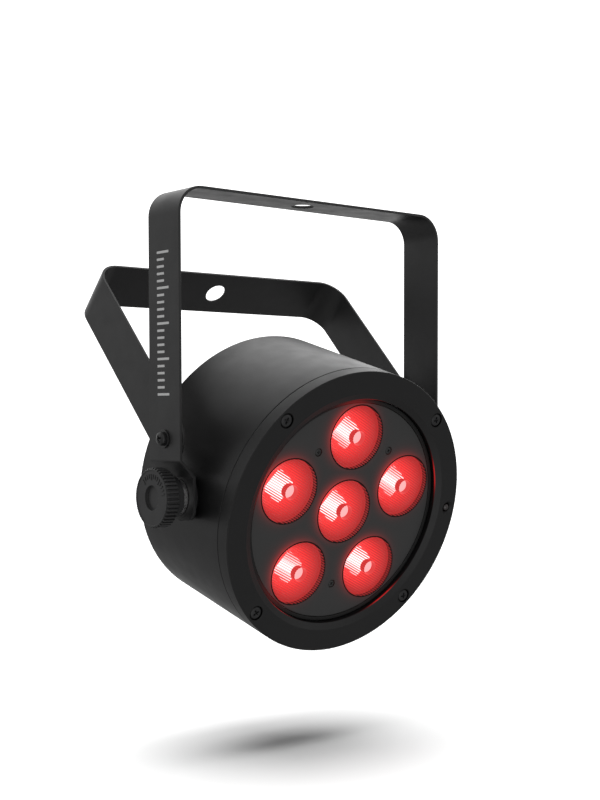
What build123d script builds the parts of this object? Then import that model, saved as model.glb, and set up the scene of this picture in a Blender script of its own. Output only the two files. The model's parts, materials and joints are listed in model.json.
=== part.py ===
from build123d import *
import os
from math import acos, atan2, cos, radians, sin, sqrt

# A compact LED par can: a drum-shaped lamp head that tilts in a U-shaped hanging yoke,
# with a second, smaller yoke pivoted inside the first one.
# Millimetres. +Z is up, -Y is the way the lamp looks, X runs along the tilt axis.
# The origin is the centre of the hanging hole in the top bar of the hanging yoke.

# ---- driving dimensions ----
STRAP_WIDTH = 30.0
STRAP_THICKNESS = 1.5
YOKE_WIDTH = 188.9            # outside width of the hanging yoke
YOKE_HEIGHT = 166.2           # tilt axis up to the top of the bar
YOKE_BEND_R = 14.25           # centre-line radius of the hanging yoke's top bends
JOGGLE_TOP = 19.7             # height above the tilt axis where the legs step inwards
JOGGLE_STEP = 8.55            # how far the lower end of each leg steps inwards
JOGGLE_BEND_R = 1.75
LEG_END_DROP = 12.4           # leg end below the tilt axis
LEG_END_CORNER_R = 6.0
HANGING_HOLE_R = 6.5

REAR_YOKE_WIDTH = 182.2
REAR_YOKE_HEIGHT = 127.1      # its pivot up to the top of its bar
REAR_YOKE_BEND_R = 14.2
REAR_YOKE_ANGLE = 45.0        # leaning back from upright
REAR_PIVOT_RISE = 31.6        # its pivot above the tilt axis
REAR_LEG_END_R = 12.6         # round end about the pivot, clear of the other yoke's step
REAR_LEG_TAPER_START = 6.4    # full strap width from here up

HEAD_TILT = 15.0              # degrees below level
BODY_R = 82.2
WALL = 2.5
FACE_Z = 43.4                 # bezel face in front of the tilt axis, along the lamp's axis
SEAM_Z = 34.5                 # joint between housing and bezel
REAR_Z = -45.9
GASKET_THICKNESS = 0.3

BEZEL_FLAT_R = 69.7           # inner edge of the bezel's flat face
BEZEL_BORE_R = 66.0
BEZEL_CHAMFER_DEPTH = 1.8
BEZEL_ROUND = 0.8
BEZEL_HUB_R = 70.5
BEZEL_HUB_BACK_Z = 37.6
BEZEL_FACE_THICKNESS = 3.0
BEZEL_SCREW_R = 76.7
BEZEL_SCREW_ANGLES = (45, 135, 225, 315)

PANEL_R = 63.2
PANEL_FRONT_Z = 38.7
PANEL_THICKNESS = 3.0
PANEL_SCREW_ANGLES = (54, 126, 270)
SEAL_OUTER_R = 65.8
CARRIER_R = 71.4

LENS_R = 18.5
LENS_CIRCLE_R = 43.4
LENS_ANGLES = (90, 162, 234, 306, 18)
LENS_CROWN = 2.2
LENS_CLEARANCE = 0.2

SINK_FRONT_Z = 20.0
SINK_BASE = 4.0
SINK_FIN_DEPTH = 26.0
SINK_FIN_PITCH = 8.0
SINK_FIN_COUNT = 15
SINK_FIN_R = 63.5
BOARD_THICKNESS = 1.6
BOARD_SCREW_R = 55.0
BOARD_SCREW_ANGLES = (36, 108, 180, 252, 324)

PIVOT_BOSS_R = 14.0
PIVOT_FLAT = 82.9             # flat of the tilt boss, from the middle of the lamp
PIVOT_INNER = 70.0
INSERT_R = 6.0
STUD_R = 4.0
RUNNING_GAP = 0.05
WASHER_R = 10.1
KNOB_NECK_R = 11.6
KNOB_NECK_START = 89.4
KNOB_GRIP_START = 94.8
KNOB_FACE = 103.2
KNOB_R = 16.26
KNOB_RIBS = 42
KNOB_RECESS_R = 6.7

REAR_PANEL_R = 79.5
REAR_PANEL_BACK_Z = -45.4
REAR_PANEL_THICKNESS = 2.0
LEDGE_R = 75.5
REAR_SCREW_R = 77.4
CONNECTOR_Y = -12.0
CONNECTOR_PITCH = 32.0
BUTTON_Y = 17.0
BUTTON_PITCH = 15.0
BUTTON_SIZE = 8.0
DISPLAY_Y = 35.0
FUSE_PLACE = (-52.0, -38.0)
EYELET_Y = 66.0
EYELET_SCREW_Y = 59.5

# ---- worked-out places ----
TILT_AXIS_Z = STRAP_THICKNESS / 2 - YOKE_HEIGHT
REAR_PIVOT_Z = TILT_AXIS_Z + REAR_PIVOT_RISE
LEG_OUTER = YOKE_WIDTH / 2
LEG_INNER = LEG_OUTER - STRAP_THICKNESS
PAD_OUTER = LEG_OUTER - JOGGLE_STEP
PAD_INNER = PAD_OUTER - STRAP_THICKNESS
REAR_LEG_OUTER = REAR_YOKE_WIDTH / 2
REAR_LEG_INNER = REAR_LEG_OUTER - STRAP_THICKNESS
REAR_PANEL_FRONT_Z = REAR_PANEL_BACK_Z + REAR_PANEL_THICKNESS
PANEL_BACK_Z = PANEL_FRONT_Z - PANEL_THICKNESS
LED_BOARD_FRONT_Z = SINK_FRONT_Z + BOARD_THICKNESS
INSIDE_R = BODY_R - WALL

# The head frame has +Z along the light beam, +Y up across it and +X along the tilt axis.
HEAD = Pos(0, 0, TILT_AXIS_Z) * Rot(90 + HEAD_TILT, 0, 0)
TILT_AXIS = Pos(0, 0, TILT_AXIS_Z)
REAR_YOKE_PLACE = Pos(0, 0, REAR_PIVOT_Z) * Rot(-REAR_YOKE_ANGLE, 0, 0)
RIGHT_SIDE = Rot(0, 90, 0)
LEFT_SIDE = Rot(0, -90, 0)
SIDES = (("left", LEFT_SIDE), ("right", RIGHT_SIDE))
FROM_BASE = (Align.CENTER, Align.CENTER, Align.MIN)


# ---- small building blocks ----
def disc(radius, start, end, x=0.0, y=0.0):
    return Pos(x, y, start) * Cylinder(radius, end - start, align=FROM_BASE)


def ring(outer, inner, start, end, x=0.0, y=0.0):
    return disc(outer, start, end, x, y) - disc(inner, start - 1, end + 1, x, y)


def block(width, height, start, end, x=0.0, y=0.0):
    return Pos(x, y, start) * Box(width, height, end - start, align=FROM_BASE)


def soft_block(width, height, start, end, corner, x=0.0, y=0.0):
    outline = RectangleRounded(width, height, corner)
    return Pos(x, y, start) * extrude(outline, end - start)


def turned(*points):
    """Turn an outline of (radius, height) points about Z."""
    return revolve(Plane.XZ * Polygon(*points, align=None), Axis.Z)


def polar(radius, angle):
    return radius * cos(radians(angle)), radius * sin(radians(angle))


def cross_recess(span, depth):
    arms = Rectangle(span, span * 0.24) + Rectangle(span * 0.24, span)
    return extrude(arms, -depth, taper=12)


def pan_screw(shank_r, length, head_r, head_height, recess):
    """A cross-recess pan-head screw, head underside at Z 0, head up and shank down."""
    crown = head_height * 0.45
    head = turned(
        (0, 0),
        (head_r, 0),
        (head_r, head_height - crown),
        (head_r * 0.86, head_height - crown * 0.35),
        (head_r * 0.55, head_height),
        (0, head_height),
    )
    shank = disc(shank_r, -length, 0)
    return head + shank - Pos(0, 0, head_height) * cross_recess(recess, head_height * 0.6)


def strap(centre_line, width):
    """Bend a flat strap along a centre line drawn in the XZ plane."""
    outline = offset(centre_line, STRAP_THICKNESS / 2, side=Side.LEFT, closed=False)
    other = offset(centre_line, STRAP_THICKNESS / 2, side=Side.RIGHT, closed=False)
    ends = [Line(outline @ 0, other @ 0), Line(outline @ 1, other @ 1)]
    if (outline @ 0 - other @ 0).length > STRAP_THICKNESS * 1.5:
        ends = [Line(outline @ 0, other @ 1), Line(outline @ 1, other @ 0)]
    section = make_face(outline.edges() + other.edges() + ends)
    return extrude(section, width / 2, both=True)


# ---- the hanging yoke and its hardware ----
def front_yoke():
    leg_x = LEG_OUTER - STRAP_THICKNESS / 2
    pad_x = PAD_OUTER - STRAP_THICKNESS / 2
    step_low = JOGGLE_TOP - JOGGLE_STEP
    top = YOKE_HEIGHT - STRAP_THICKNESS / 2
    corners = [
        (-pad_x, -LEG_END_DROP),
        (-pad_x, step_low),
        (-leg_x, JOGGLE_TOP),
        (-leg_x, top),
        (leg_x, top),
        (leg_x, JOGGLE_TOP),
        (pad_x, step_low),
        (pad_x, -LEG_END_DROP),
    ]
    radii = [JOGGLE_BEND_R, JOGGLE_BEND_R, YOKE_BEND_R, YOKE_BEND_R, JOGGLE_BEND_R, JOGGLE_BEND_R]
    line = Plane.XZ * FilletPolyline(*corners, radius=radii)
    body = strap(line, STRAP_WIDTH)
    tall = 2 * YOKE_HEIGHT
    side_view = Rectangle(STRAP_WIDTH, tall)
    side_view = fillet(side_view.vertices().group_by(Axis.Y)[0], LEG_END_CORNER_R)
    trim = extrude(Plane.YZ * Pos(0, tall / 2 - LEG_END_DROP) * side_view, YOKE_WIDTH, both=True)
    body &= trim
    body -= disc(HANGING_HOLE_R, YOKE_HEIGHT - 10, YOKE_HEIGHT + 10)
    for _, side in SIDES:
        body -= side * disc(STUD_R + 0.5, PAD_INNER - 5, PAD_OUTER + 5)
        body -= Pos(0, 0, REAR_PIVOT_RISE) * side * disc(2.1, LEG_INNER - 5, LEG_OUTER + 5)
    return TILT_AXIS * body


PIVOT_SCREW_R = 2.0
PIVOT_WASHER_R = 5.0
PIVOT_WASHER_THICKNESS = 1.0
PIVOT_NUT_DEPTH = 5.0


def pivot_place(side):
    return Pos(0, 0, REAR_PIVOT_Z) * side


def pivot_screws():
    head_seat = LEG_OUTER + PIVOT_WASHER_THICKNESS
    screw = Pos(0, 0, head_seat) * pan_screw(PIVOT_SCREW_R, 11.4, 3.8, 3.1, 4.4)
    return Compound([pivot_place(side) * screw for _, side in SIDES])


def pivot_washers():
    """A washer under each screw head and another that keeps the two yokes apart."""
    washer = ring(PIVOT_WASHER_R, 2.1, LEG_OUTER, LEG_OUTER + PIVOT_WASHER_THICKNESS)
    spacer = ring(PIVOT_WASHER_R, 2.1, REAR_LEG_OUTER + RUNNING_GAP, LEG_INNER)
    return Compound([pivot_place(side) * piece for _, side in SIDES for piece in (washer, spacer)])


def pivot_nuts():
    hexagon = RegularPolygon(3.5, 6, major_radius=False)
    top = REAR_LEG_INNER - RUNNING_GAP
    nut = Pos(0, 0, top - PIVOT_NUT_DEPTH) * extrude(hexagon, PIVOT_NUT_DEPTH)
    nut &= turned(
        (0, top - PIVOT_NUT_DEPTH),
        (3.0, top - PIVOT_NUT_DEPTH),
        (4.05, top - PIVOT_NUT_DEPTH + 1.0),
        (4.05, top),
        (0, top),
    )
    nut -= disc(PIVOT_SCREW_R + 0.01, top - 10, top + 1)
    return Compound([pivot_place(side) * nut for _, side in SIDES])


# ---- the rear yoke ----
def rear_yoke():
    leg_x = REAR_LEG_OUTER - STRAP_THICKNESS / 2
    top = REAR_YOKE_HEIGHT - STRAP_THICKNESS / 2
    corners = [(-leg_x, -REAR_LEG_END_R - 5), (-leg_x, top), (leg_x, top), (leg_x, -REAR_LEG_END_R - 5)]
    body = strap(Plane.XZ * FilletPolyline(*corners, radius=REAR_YOKE_BEND_R), STRAP_WIDTH)
    half = STRAP_WIDTH / 2
    reach = sqrt(half**2 + REAR_LEG_TAPER_START**2)
    # Each tapered flank meets the round end at a tangent, this far below level.
    touch = acos(REAR_LEG_END_R / reach) - atan2(REAR_LEG_TAPER_START, half)
    foot = (REAR_LEG_END_R * cos(touch), -REAR_LEG_END_R * sin(touch))
    outline = Polygon(
        (half, REAR_LEG_TAPER_START),
        (half, REAR_YOKE_HEIGHT + 5),
        (-half, REAR_YOKE_HEIGHT + 5),
        (-half, REAR_LEG_TAPER_START),
        (-foot[0], foot[1]),
        foot,
        align=None,
    )
    outline += Circle(REAR_LEG_END_R)
    body &= extrude(Plane.YZ * outline, REAR_YOKE_WIDTH, both=True)
    body -= disc(HANGING_HOLE_R, REAR_YOKE_HEIGHT - 10, REAR_YOKE_HEIGHT + 10)
    for _, side in SIDES:
        body -= side * disc(PIVOT_SCREW_R + RUNNING_GAP, REAR_LEG_INNER - 5, REAR_LEG_OUTER + 5)
    return REAR_YOKE_PLACE * body


# ---- housing, bezel and front panel ----
def housing():
    body = ring(BODY_R, INSIDE_R, REAR_Z, SEAM_Z)
    body += ring(BODY_R - 0.5, LEDGE_R, REAR_PANEL_FRONT_Z, REAR_PANEL_FRONT_Z + 4)
    body += ring(BODY_R - 0.5, LEDGE_R, SINK_FRONT_Z - SINK_BASE - 4, SINK_FRONT_Z - SINK_BASE)
    for angle in BEZEL_SCREW_ANGLES:
        x, y = polar(BEZEL_SCREW_R, angle)
        body += disc(4.0, SINK_FRONT_Z - SINK_BASE - 4, SEAM_Z, x, y) & disc(BODY_R - 0.5, -50, 50)
        body -= disc(2.05, SEAM_Z - 14, SEAM_Z + 1, x, y)
    for _, side in SIDES:
        body += side * disc(PIVOT_BOSS_R, PIVOT_INNER, PIVOT_FLAT)
        body -= side * disc(INSERT_R + RUNNING_GAP, PIVOT_INNER - 1, PIVOT_FLAT + 1)
    for angle in range(0, 360, 60):
        x, y = polar(REAR_SCREW_R, angle + 30)
        body -= disc(1.55, REAR_PANEL_FRONT_Z - 1, REAR_PANEL_FRONT_Z + 3.5, x, y)
    for angle in (0, 90, 180, 270):
        x, y = polar(REAR_SCREW_R, angle)
        body -= disc(1.55, SINK_FRONT_Z - SINK_BASE - 3.5, SINK_FRONT_Z, x, y)
    return body


def bezel():
    back = SEAM_Z + GASKET_THICKNESS
    pocket_top = FACE_Z - BEZEL_FACE_THICKNESS
    body = turned(
        (BEZEL_BORE_R, BEZEL_HUB_BACK_Z),
        (BEZEL_BORE_R, FACE_Z - BEZEL_CHAMFER_DEPTH),
        (BEZEL_FLAT_R, FACE_Z),
        (BODY_R - BEZEL_ROUND, FACE_Z),
        (BODY_R - BEZEL_ROUND * 0.29, FACE_Z - BEZEL_ROUND * 0.29),
        (BODY_R, FACE_Z - BEZEL_ROUND),
        (BODY_R, back),
        (INSIDE_R, back),
        (INSIDE_R, pocket_top),
        (BEZEL_HUB_R, pocket_top),
        (BEZEL_HUB_R, BEZEL_HUB_BACK_Z),
    )
    for angle in BEZEL_SCREW_ANGLES:
        x, y = polar(BEZEL_SCREW_R, angle)
        body += disc(5.0, back, pocket_top + 1, x, y) & disc(BODY_R - 0.5, -50, 50)
        body -= disc(2.2, back - 1, FACE_Z + 1, x, y)
        body -= disc(4.2, FACE_Z - 2.0, FACE_Z + 1, x, y)
    body -= Pos(BEZEL_SCREW_R, 0, 0) * turned(
        (0, back - 1), (2.7, back - 1), (2.7, FACE_Z - 1.4), (4.2, FACE_Z + 0.1), (0, FACE_Z + 0.1)
    )
    return body


def bezel_gasket():
    body = ring(BODY_R - 0.45, LEDGE_R - 3, SEAM_Z, SEAM_Z + GASKET_THICKNESS)
    for angle in BEZEL_SCREW_ANGLES:
        body -= disc(2.2, SEAM_Z - 1, SEAM_Z + 1, *polar(BEZEL_SCREW_R, angle))
    return body


def bezel_screws():
    screw = Pos(0, 0, FACE_Z - 2.0) * pan_screw(2.0, 18.0, 3.7, 1.9, 4.2)
    return Compound([Pos(*polar(BEZEL_SCREW_R, angle), 0) * screw for angle in BEZEL_SCREW_ANGLES])


def lens_places():
    return [(0.0, 0.0)] + [polar(LENS_CIRCLE_R, angle) for angle in LENS_ANGLES]


def lens_panel():
    body = disc(PANEL_R, PANEL_BACK_Z, PANEL_FRONT_Z)
    for x, y in lens_places():
        body -= disc(LENS_R + LENS_CLEARANCE, PANEL_BACK_Z - 1, PANEL_FRONT_Z + 1, x, y)
    for angle in PANEL_SCREW_ANGLES:
        x, y = polar(LENS_CIRCLE_R, angle)
        body -= disc(2.3, PANEL_FRONT_Z - 1.3, PANEL_FRONT_Z + 1, x, y)
        body -= disc(1.3, PANEL_BACK_Z - 1, PANEL_FRONT_Z, x, y)
    return body


def panel_seal():
    return ring(SEAL_OUTER_R, PANEL_R + 0.15, PANEL_BACK_Z, PANEL_FRONT_Z + 0.2)


def panel_carrier():
    """The cup that holds the front panel and its seal off the heat sink."""
    body = ring(CARRIER_R, CARRIER_R - WALL, SINK_FRONT_Z, PANEL_BACK_Z)
    return body + ring(CARRIER_R, PANEL_R - 0.9, PANEL_BACK_Z - 2, PANEL_BACK_Z)


def panel_screws():
    screw = Pos(0, 0, PANEL_FRONT_Z - 1.25) * pan_screw(1.25, 7.5, 2.15, 1.1, 2.4)
    return Compound([Pos(*polar(LENS_CIRCLE_R, angle), 0) * screw for angle in PANEL_SCREW_ANGLES])


def panel_posts():
    hexagon = extrude(RegularPolygon(3.0, 6), PANEL_BACK_Z - LED_BOARD_FRONT_Z)
    post = Pos(0, 0, LED_BOARD_FRONT_Z) * hexagon
    post -= disc(1.3, PANEL_BACK_Z - 6.2, PANEL_BACK_Z + 1)
    return [Pos(*polar(LENS_CIRCLE_R, angle), 0) * post for angle in PANEL_SCREW_ANGLES]


def lens():
    """One collimating lens: a cone-shaped light guide, a rim and a low crowned face."""
    crown = (LENS_R**2 + LENS_CROWN**2) / (2 * LENS_CROWN)
    rim_low = PANEL_BACK_Z - 0.6
    with BuildSketch(Plane.XZ) as outline:
        with BuildLine():
            Polyline(
                (0, PANEL_FRONT_Z + LENS_CROWN),
                (0, 29.0),
                (3.6, 29.0),
                (3.6, 24.8),
                (5.6, 24.8),
                (16.4, rim_low),
                (LENS_R, rim_low),
                (LENS_R, PANEL_FRONT_Z),
            )
            RadiusArc((LENS_R, PANEL_FRONT_Z), (0, PANEL_FRONT_Z + LENS_CROWN), -crown)
        make_face()
    return revolve(outline.sketch, Axis.Z)


def lens_cup():
    """The black plastic cup that centres one lens over its emitter."""
    low = LED_BOARD_FRONT_Z
    high = PANEL_BACK_Z - 0.7
    return turned(
        (8.6, low),
        (18.2, high),
        (17.2, high),
        (6.4, low + 3.2),
        (6.4, low),
    )


def emitter():
    """One multi-colour LED: a square ceramic base with a clear dome."""
    low = LED_BOARD_FRONT_Z
    base = block(7.0, 7.0, low, low + 0.9)
    dome = Pos(0, 0, low + 0.9) * Sphere(2.9) & disc(3.2, low + 0.9, low + 4)
    return base + dome


def led_board():
    body = disc(60.0, SINK_FRONT_Z, LED_BOARD_FRONT_Z)
    for angle in BOARD_SCREW_ANGLES:
        x, y = polar(BOARD_SCREW_R, angle)
        body -= disc(1.7, SINK_FRONT_Z - 1, LED_BOARD_FRONT_Z + 1, x, y)
    return body


LEAD_R = 1.5
LEAD_LANE = 66.6              # distance of the supply lead's long run from the lamp's axis


def heat_sink():
    back = SINK_FRONT_Z - SINK_BASE
    body = disc(INSIDE_R - 0.3, back, SINK_FRONT_Z)
    for angle in BEZEL_SCREW_ANGLES:
        body -= disc(4.4, back - 1, SINK_FRONT_Z + 1, *polar(BEZEL_SCREW_R, angle))
    for angle in (0, 90, 180, 270):
        body -= disc(1.7, back - 1, SINK_FRONT_Z + 1, *polar(REAR_SCREW_R, angle))
    for angle in BOARD_SCREW_ANGLES:
        body -= disc(1.52, SINK_FRONT_Z - 3.5, SINK_FRONT_Z + 1, *polar(BOARD_SCREW_R, angle))
    body -= disc(LEAD_R + 1.0, back - 1, SINK_FRONT_Z + 1, 0, -LEAD_LANE)
    first = -(SINK_FIN_COUNT - 1) / 2
    for index in range(SINK_FIN_COUNT):
        x = (first + index) * SINK_FIN_PITCH
        half_chord = sqrt(SINK_FIN_R**2 - x**2)
        body += block(2.0, 2 * half_chord, back - SINK_FIN_DEPTH, back + 0.5, x, 0)
    return body


def heat_sink_screws():
    """Four screws hold the heat sink to the housing and five hold the LED board to it."""
    screw = pan_screw(1.5, 7.0, 2.0, 1.8, 2.6)
    board_screw = pan_screw(1.5, 5.0, 2.8, 1.8, 3.0)
    screws = [Pos(*polar(REAR_SCREW_R, angle), SINK_FRONT_Z) * screw for angle in (0, 90, 180, 270)]
    for angle in BOARD_SCREW_ANGLES:
        screws.append(Pos(*polar(BOARD_SCREW_R, angle), LED_BOARD_FRONT_Z) * board_screw)
    return screws


def infrared_window():
    low = BEZEL_HUB_BACK_Z + 0.6
    dome = Pos(0, 0, FACE_Z - 2.8) * Sphere(2.6) & disc(3.0, FACE_Z - 2.8, FACE_Z)
    return Pos(BEZEL_SCREW_R, 0, 0) * (disc(2.6, low, FACE_Z - 2.8) + dome)


def infrared_board():
    return block(5.6, 12.0, 36.4, 38.0, BEZEL_SCREW_R - 0.4, 0)


# ---- tilt hardware, one set on each side ----
def tilt_inserts():
    insert = ring(INSERT_R, STUD_R + RUNNING_GAP, PIVOT_INNER + 0.5, PIVOT_FLAT - 0.5)
    return Compound([TILT_AXIS * side * insert for _, side in SIDES])


def friction_pads():
    pad = ring(13.0, STUD_R + 0.6, PIVOT_FLAT, PAD_INNER - RUNNING_GAP)
    return Compound([TILT_AXIS * side * pad for _, side in SIDES])


def knob_washer():
    body = ring(WASHER_R, STUD_R + 0.2, PAD_OUTER + RUNNING_GAP, KNOB_NECK_START - RUNNING_GAP)
    return chamfer(body.edges().filter_by(GeomType.CIRCLE).sort_by(SortBy.RADIUS)[-2:], 0.3)


def knob_grip():
    """Ribbed grip with a smooth front disc, a recess in its face and a neck behind."""
    rib_depth = 0.7
    disc_start = KNOB_FACE - 1.1
    body = turned(
        (0, KNOB_NECK_START),
        (KNOB_NECK_R, KNOB_NECK_START),
        (KNOB_NECK_R, KNOB_GRIP_START - 0.8),
        (KNOB_NECK_R + 0.8, KNOB_GRIP_START),
        (KNOB_R - rib_depth - 0.6, KNOB_GRIP_START),
        (KNOB_R - rib_depth, KNOB_GRIP_START + 0.6),
        (KNOB_R - rib_depth, disc_start),
        (KNOB_R, disc_start),
        (KNOB_R, KNOB_FACE - 0.4),
        (KNOB_R - 0.4, KNOB_FACE),
        (0, KNOB_FACE),
    )
    rib = block(1.5, 1.2, KNOB_GRIP_START + 0.4, disc_start, KNOB_R - 0.85, 0)
    ribs = [Rot(0, 0, index * 360 / KNOB_RIBS) * rib for index in range(KNOB_RIBS)]
    body = body.fuse(*ribs)
    body -= disc(KNOB_RECESS_R, KNOB_FACE - 2.0, KNOB_FACE + 1)
    body -= disc(STUD_R + 0.01, KNOB_NECK_START - 1, KNOB_FACE - 4)
    return body


def knob_stud():
    body = disc(STUD_R, 72.0, KNOB_FACE - 4.2)
    return chamfer(body.edges().group_by(Axis.Z)[0], 0.8)


# ---- rear panel, its sockets and controls ----
CONNECTOR_X = [(index - 1.5) * CONNECTOR_PITCH for index in range(4)]
FLANGE_BACK = REAR_PANEL_BACK_Z - 2.0
BARREL_R = 11.8
BARREL_FRONT = -24.0
SOCKET_DEPTH = 14.0
EYELET_HOLE_R = 5.5
EYELET_REACH = 13.0           # its hole behind the rear panel
EYELET_SCREW_X = 7.0
DISPLAY_WIDTH = 46.0
DISPLAY_HEIGHT = 16.0
BUTTON_X = [(index - 1.5) * BUTTON_PITCH for index in range(4)]
FUSE_HOLDER_R = 7.0
LATCH_WIDTH = 6.0
LATCH_DEPTH = 3.0
LATCH_RISE = 12.2


def rear_panel():
    back = REAR_PANEL_BACK_Z
    front = REAR_PANEL_FRONT_Z
    body = disc(REAR_PANEL_R, back, front)
    for angle in range(0, 360, 60):
        body -= disc(1.7, back - 1, front + 1, *polar(REAR_SCREW_R, angle + 30))
    for x in CONNECTOR_X:
        body -= disc(BARREL_R + 0.2, back - 1, front + 1, x, CONNECTOR_Y)
        for sign in (-1, 1):
            body -= disc(1.6, back - 1, front + 1, x + sign * 9.5, CONNECTOR_Y - sign * 12.0)
    for x in BUTTON_X:
        body -= block(BUTTON_SIZE + 0.4, BUTTON_SIZE + 0.4, back - 1, front + 1, x, BUTTON_Y)
    body -= block(DISPLAY_WIDTH + 0.2, DISPLAY_HEIGHT + 0.2, back - 1, front + 1, 0, DISPLAY_Y)
    body -= block(LATCH_WIDTH + 0.6, 4.0, back - 1, front + 1, CONNECTOR_X[2], CONNECTOR_Y + LATCH_RISE)
    body -= disc(FUSE_HOLDER_R + 0.1, back - 1, front + 1, *FUSE_PLACE)
    for sign in (-1, 1):
        body -= disc(1.7, back - 1, front + 1, sign * EYELET_SCREW_X, EYELET_SCREW_Y)
    for index in range(7):
        body -= soft_block(3.0, 15.0, back - 1, front + 1, 1.45, (index - 3) * 7.5, -50.0)
    return body


def rear_panel_screws():
    screw = Pos(0, 0, REAR_PANEL_BACK_Z) * Rot(180, 0, 0) * pan_screw(1.5, 5.0, 2.1, 1.4, 2.4)
    places = [polar(REAR_SCREW_R, angle + 30) for angle in range(0, 360, 60)]
    return Compound([Pos(x, y, 0) * screw for x, y in places])


def socket_shell(cavity_r):
    """A flanged round panel socket with an open cavity, centred on its barrel."""
    body = soft_block(26.0, 31.0, FLANGE_BACK, REAR_PANEL_BACK_Z, 3.0)
    body += disc(BARREL_R, FLANGE_BACK, BARREL_FRONT)
    body -= disc(cavity_r, FLANGE_BACK - 1, FLANGE_BACK + SOCKET_DEPTH)
    for sign in (-1, 1):
        body -= disc(1.6, FLANGE_BACK - 1, REAR_PANEL_BACK_Z + 1, sign * 9.5, -sign * 12.0)
    return body


def socket_at(index, shape):
    return Pos(CONNECTOR_X[index], CONNECTOR_Y, 0) * shape


def data_input_pins():
    """Three pins that stand in the open data socket."""
    floor = FLANGE_BACK + SOCKET_DEPTH
    pins = []
    for angle in (30, 150, 270):
        pin = disc(1.15, floor - 10.0, BARREL_FRONT + 3.0, *polar(3.6, angle))
        pins.append(socket_at(1, pin))
    return pins


def data_input():
    shell = socket_shell(9.4)
    for angle in (30, 150, 270):
        shell -= disc(1.16, FLANGE_BACK, BARREL_FRONT + 1, *polar(3.6, angle))
    return socket_at(1, shell)


def data_output():
    """A socket with three contact holes in an insert, and a slot for its latch."""
    shell = socket_shell(9.6)
    shell += disc(7.2, FLANGE_BACK + 1.5, FLANGE_BACK + SOCKET_DEPTH + 1)
    for angle in (90, 210, 330):
        shell -= disc(1.5, FLANGE_BACK, FLANGE_BACK + 12.0, *polar(3.6, angle))
    shell -= block(
        LATCH_WIDTH + 0.4, LATCH_DEPTH + 0.4, FLANGE_BACK - 1, FLANGE_BACK + 8, 0, LATCH_RISE
    )
    return socket_at(2, shell)


def data_latch():
    """The push tab that lets a plug go."""
    tab = soft_block(LATCH_WIDTH, LATCH_DEPTH, FLANGE_BACK - 2.0, FLANGE_BACK + 5.5, 0.6, 0, LATCH_RISE)
    return socket_at(2, tab)


BLADE_LONG = 5.0
BLADE_THICK = 1.2
BLADE_PLACES = ((-4.6, 3.0), (4.6, 3.0), (0.0, -4.0))


def power_blade(x, y, clearance=0.0):
    low = FLANGE_BACK + SOCKET_DEPTH - 9.0
    wide = BLADE_THICK + clearance
    return block(wide, BLADE_LONG + clearance, low, BARREL_FRONT + 3.0, x, y)


def power_inlet():
    shell = socket_shell(10.0)
    for x, y in BLADE_PLACES:
        shell -= power_blade(x, y, 0.02)
    return socket_at(0, shell)


def power_inlet_blades():
    return [socket_at(0, power_blade(x, y)) for x, y in BLADE_PLACES]


def socket_contacts():
    return power_inlet_blades() + data_input_pins()


def power_outlet():
    """The through outlet: a keyed insert with three contact slots."""
    shell = socket_shell(10.0)
    shell += disc(7.6, FLANGE_BACK + 1.5, FLANGE_BACK + SOCKET_DEPTH + 1)
    shell -= block(3.0, 3.0, FLANGE_BACK - 1, FLANGE_BACK + SOCKET_DEPTH, 0, 7.4)
    for x, y in BLADE_PLACES:
        shell -= block(1.8, 5.6, FLANGE_BACK, FLANGE_BACK + 11.0, x * 0.85, y * 0.8)
    return socket_at(3, shell)


def flange_screws():
    """The screws of the four socket flanges and of the safety eyelet."""
    screw = Pos(0, 0, FLANGE_BACK) * Rot(180, 0, 0) * pan_screw(1.5, 8.0, 2.7, 1.6, 3.0)
    screws = []
    for x in CONNECTOR_X:
        for sign in (-1, 1):
            screws.append(Pos(x + sign * 9.5, CONNECTOR_Y - sign * 12.0, 0) * screw)
    for sign in (-1, 1):
        screws.append(Pos(sign * EYELET_SCREW_X, EYELET_SCREW_Y, 0) * screw)
    return screws


def fuse_holder():
    x, y = FUSE_PLACE
    body = disc(FUSE_HOLDER_R, REAR_PANEL_BACK_Z - 1.0, -19.0, x, y)
    body += disc(9.0, REAR_PANEL_BACK_Z - 2.0, REAR_PANEL_BACK_Z, x, y)
    body -= disc(5.3, REAR_PANEL_BACK_Z - 3, -42.0, x, y)
    body -= disc(3.2, -43.0, -21.0, x, y)
    return body


def fuse_cap():
    x, y = FUSE_PLACE
    outer = REAR_PANEL_BACK_Z - 6.0
    body = disc(5.2, REAR_PANEL_BACK_Z - 2.4, -42.1, x, y)
    body += disc(7.2, outer, REAR_PANEL_BACK_Z - 2.1, x, y)
    for index in range(12):
        body -= Pos(x, y, 0) * Rot(0, 0, index * 30) * disc(0.8, outer - 1, outer + 3.2, 7.5, 0)
    body -= block(8.0, 1.4, outer - 1, outer + 1.2, x, y)
    return body


def fuse():
    return disc(2.6, -41.8, -21.8, *FUSE_PLACE)


def eyelet():
    """The safety-cable loop: a bent steel tab with one large hole, open from above and below."""
    back = REAR_PANEL_BACK_Z
    middle = (EYELET_Y + EYELET_SCREW_Y) / 2 - 0.75
    body = soft_block(22.0, 14.0, back - 2.0, back, 2.0, 0, middle)
    tab = Rectangle(16.0, EYELET_REACH - 1.0) + Pos(0, (EYELET_REACH - 1.0) / 2) * Circle(8.0)
    plate = extrude(Plane.XZ * tab, 1.0, both=True)
    body += Pos(0, EYELET_Y, back - (EYELET_REACH + 1.0) / 2) * Rot(180, 0, 0) * plate
    for sign in (-1, 1):
        body -= disc(1.7, back - 4, back + 1, sign * EYELET_SCREW_X, EYELET_SCREW_Y)
    hole = extrude(Plane.XZ * Circle(EYELET_HOLE_R), 5.0, both=True)
    body -= Pos(0, EYELET_Y, back - EYELET_REACH) * hole
    return body


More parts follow.
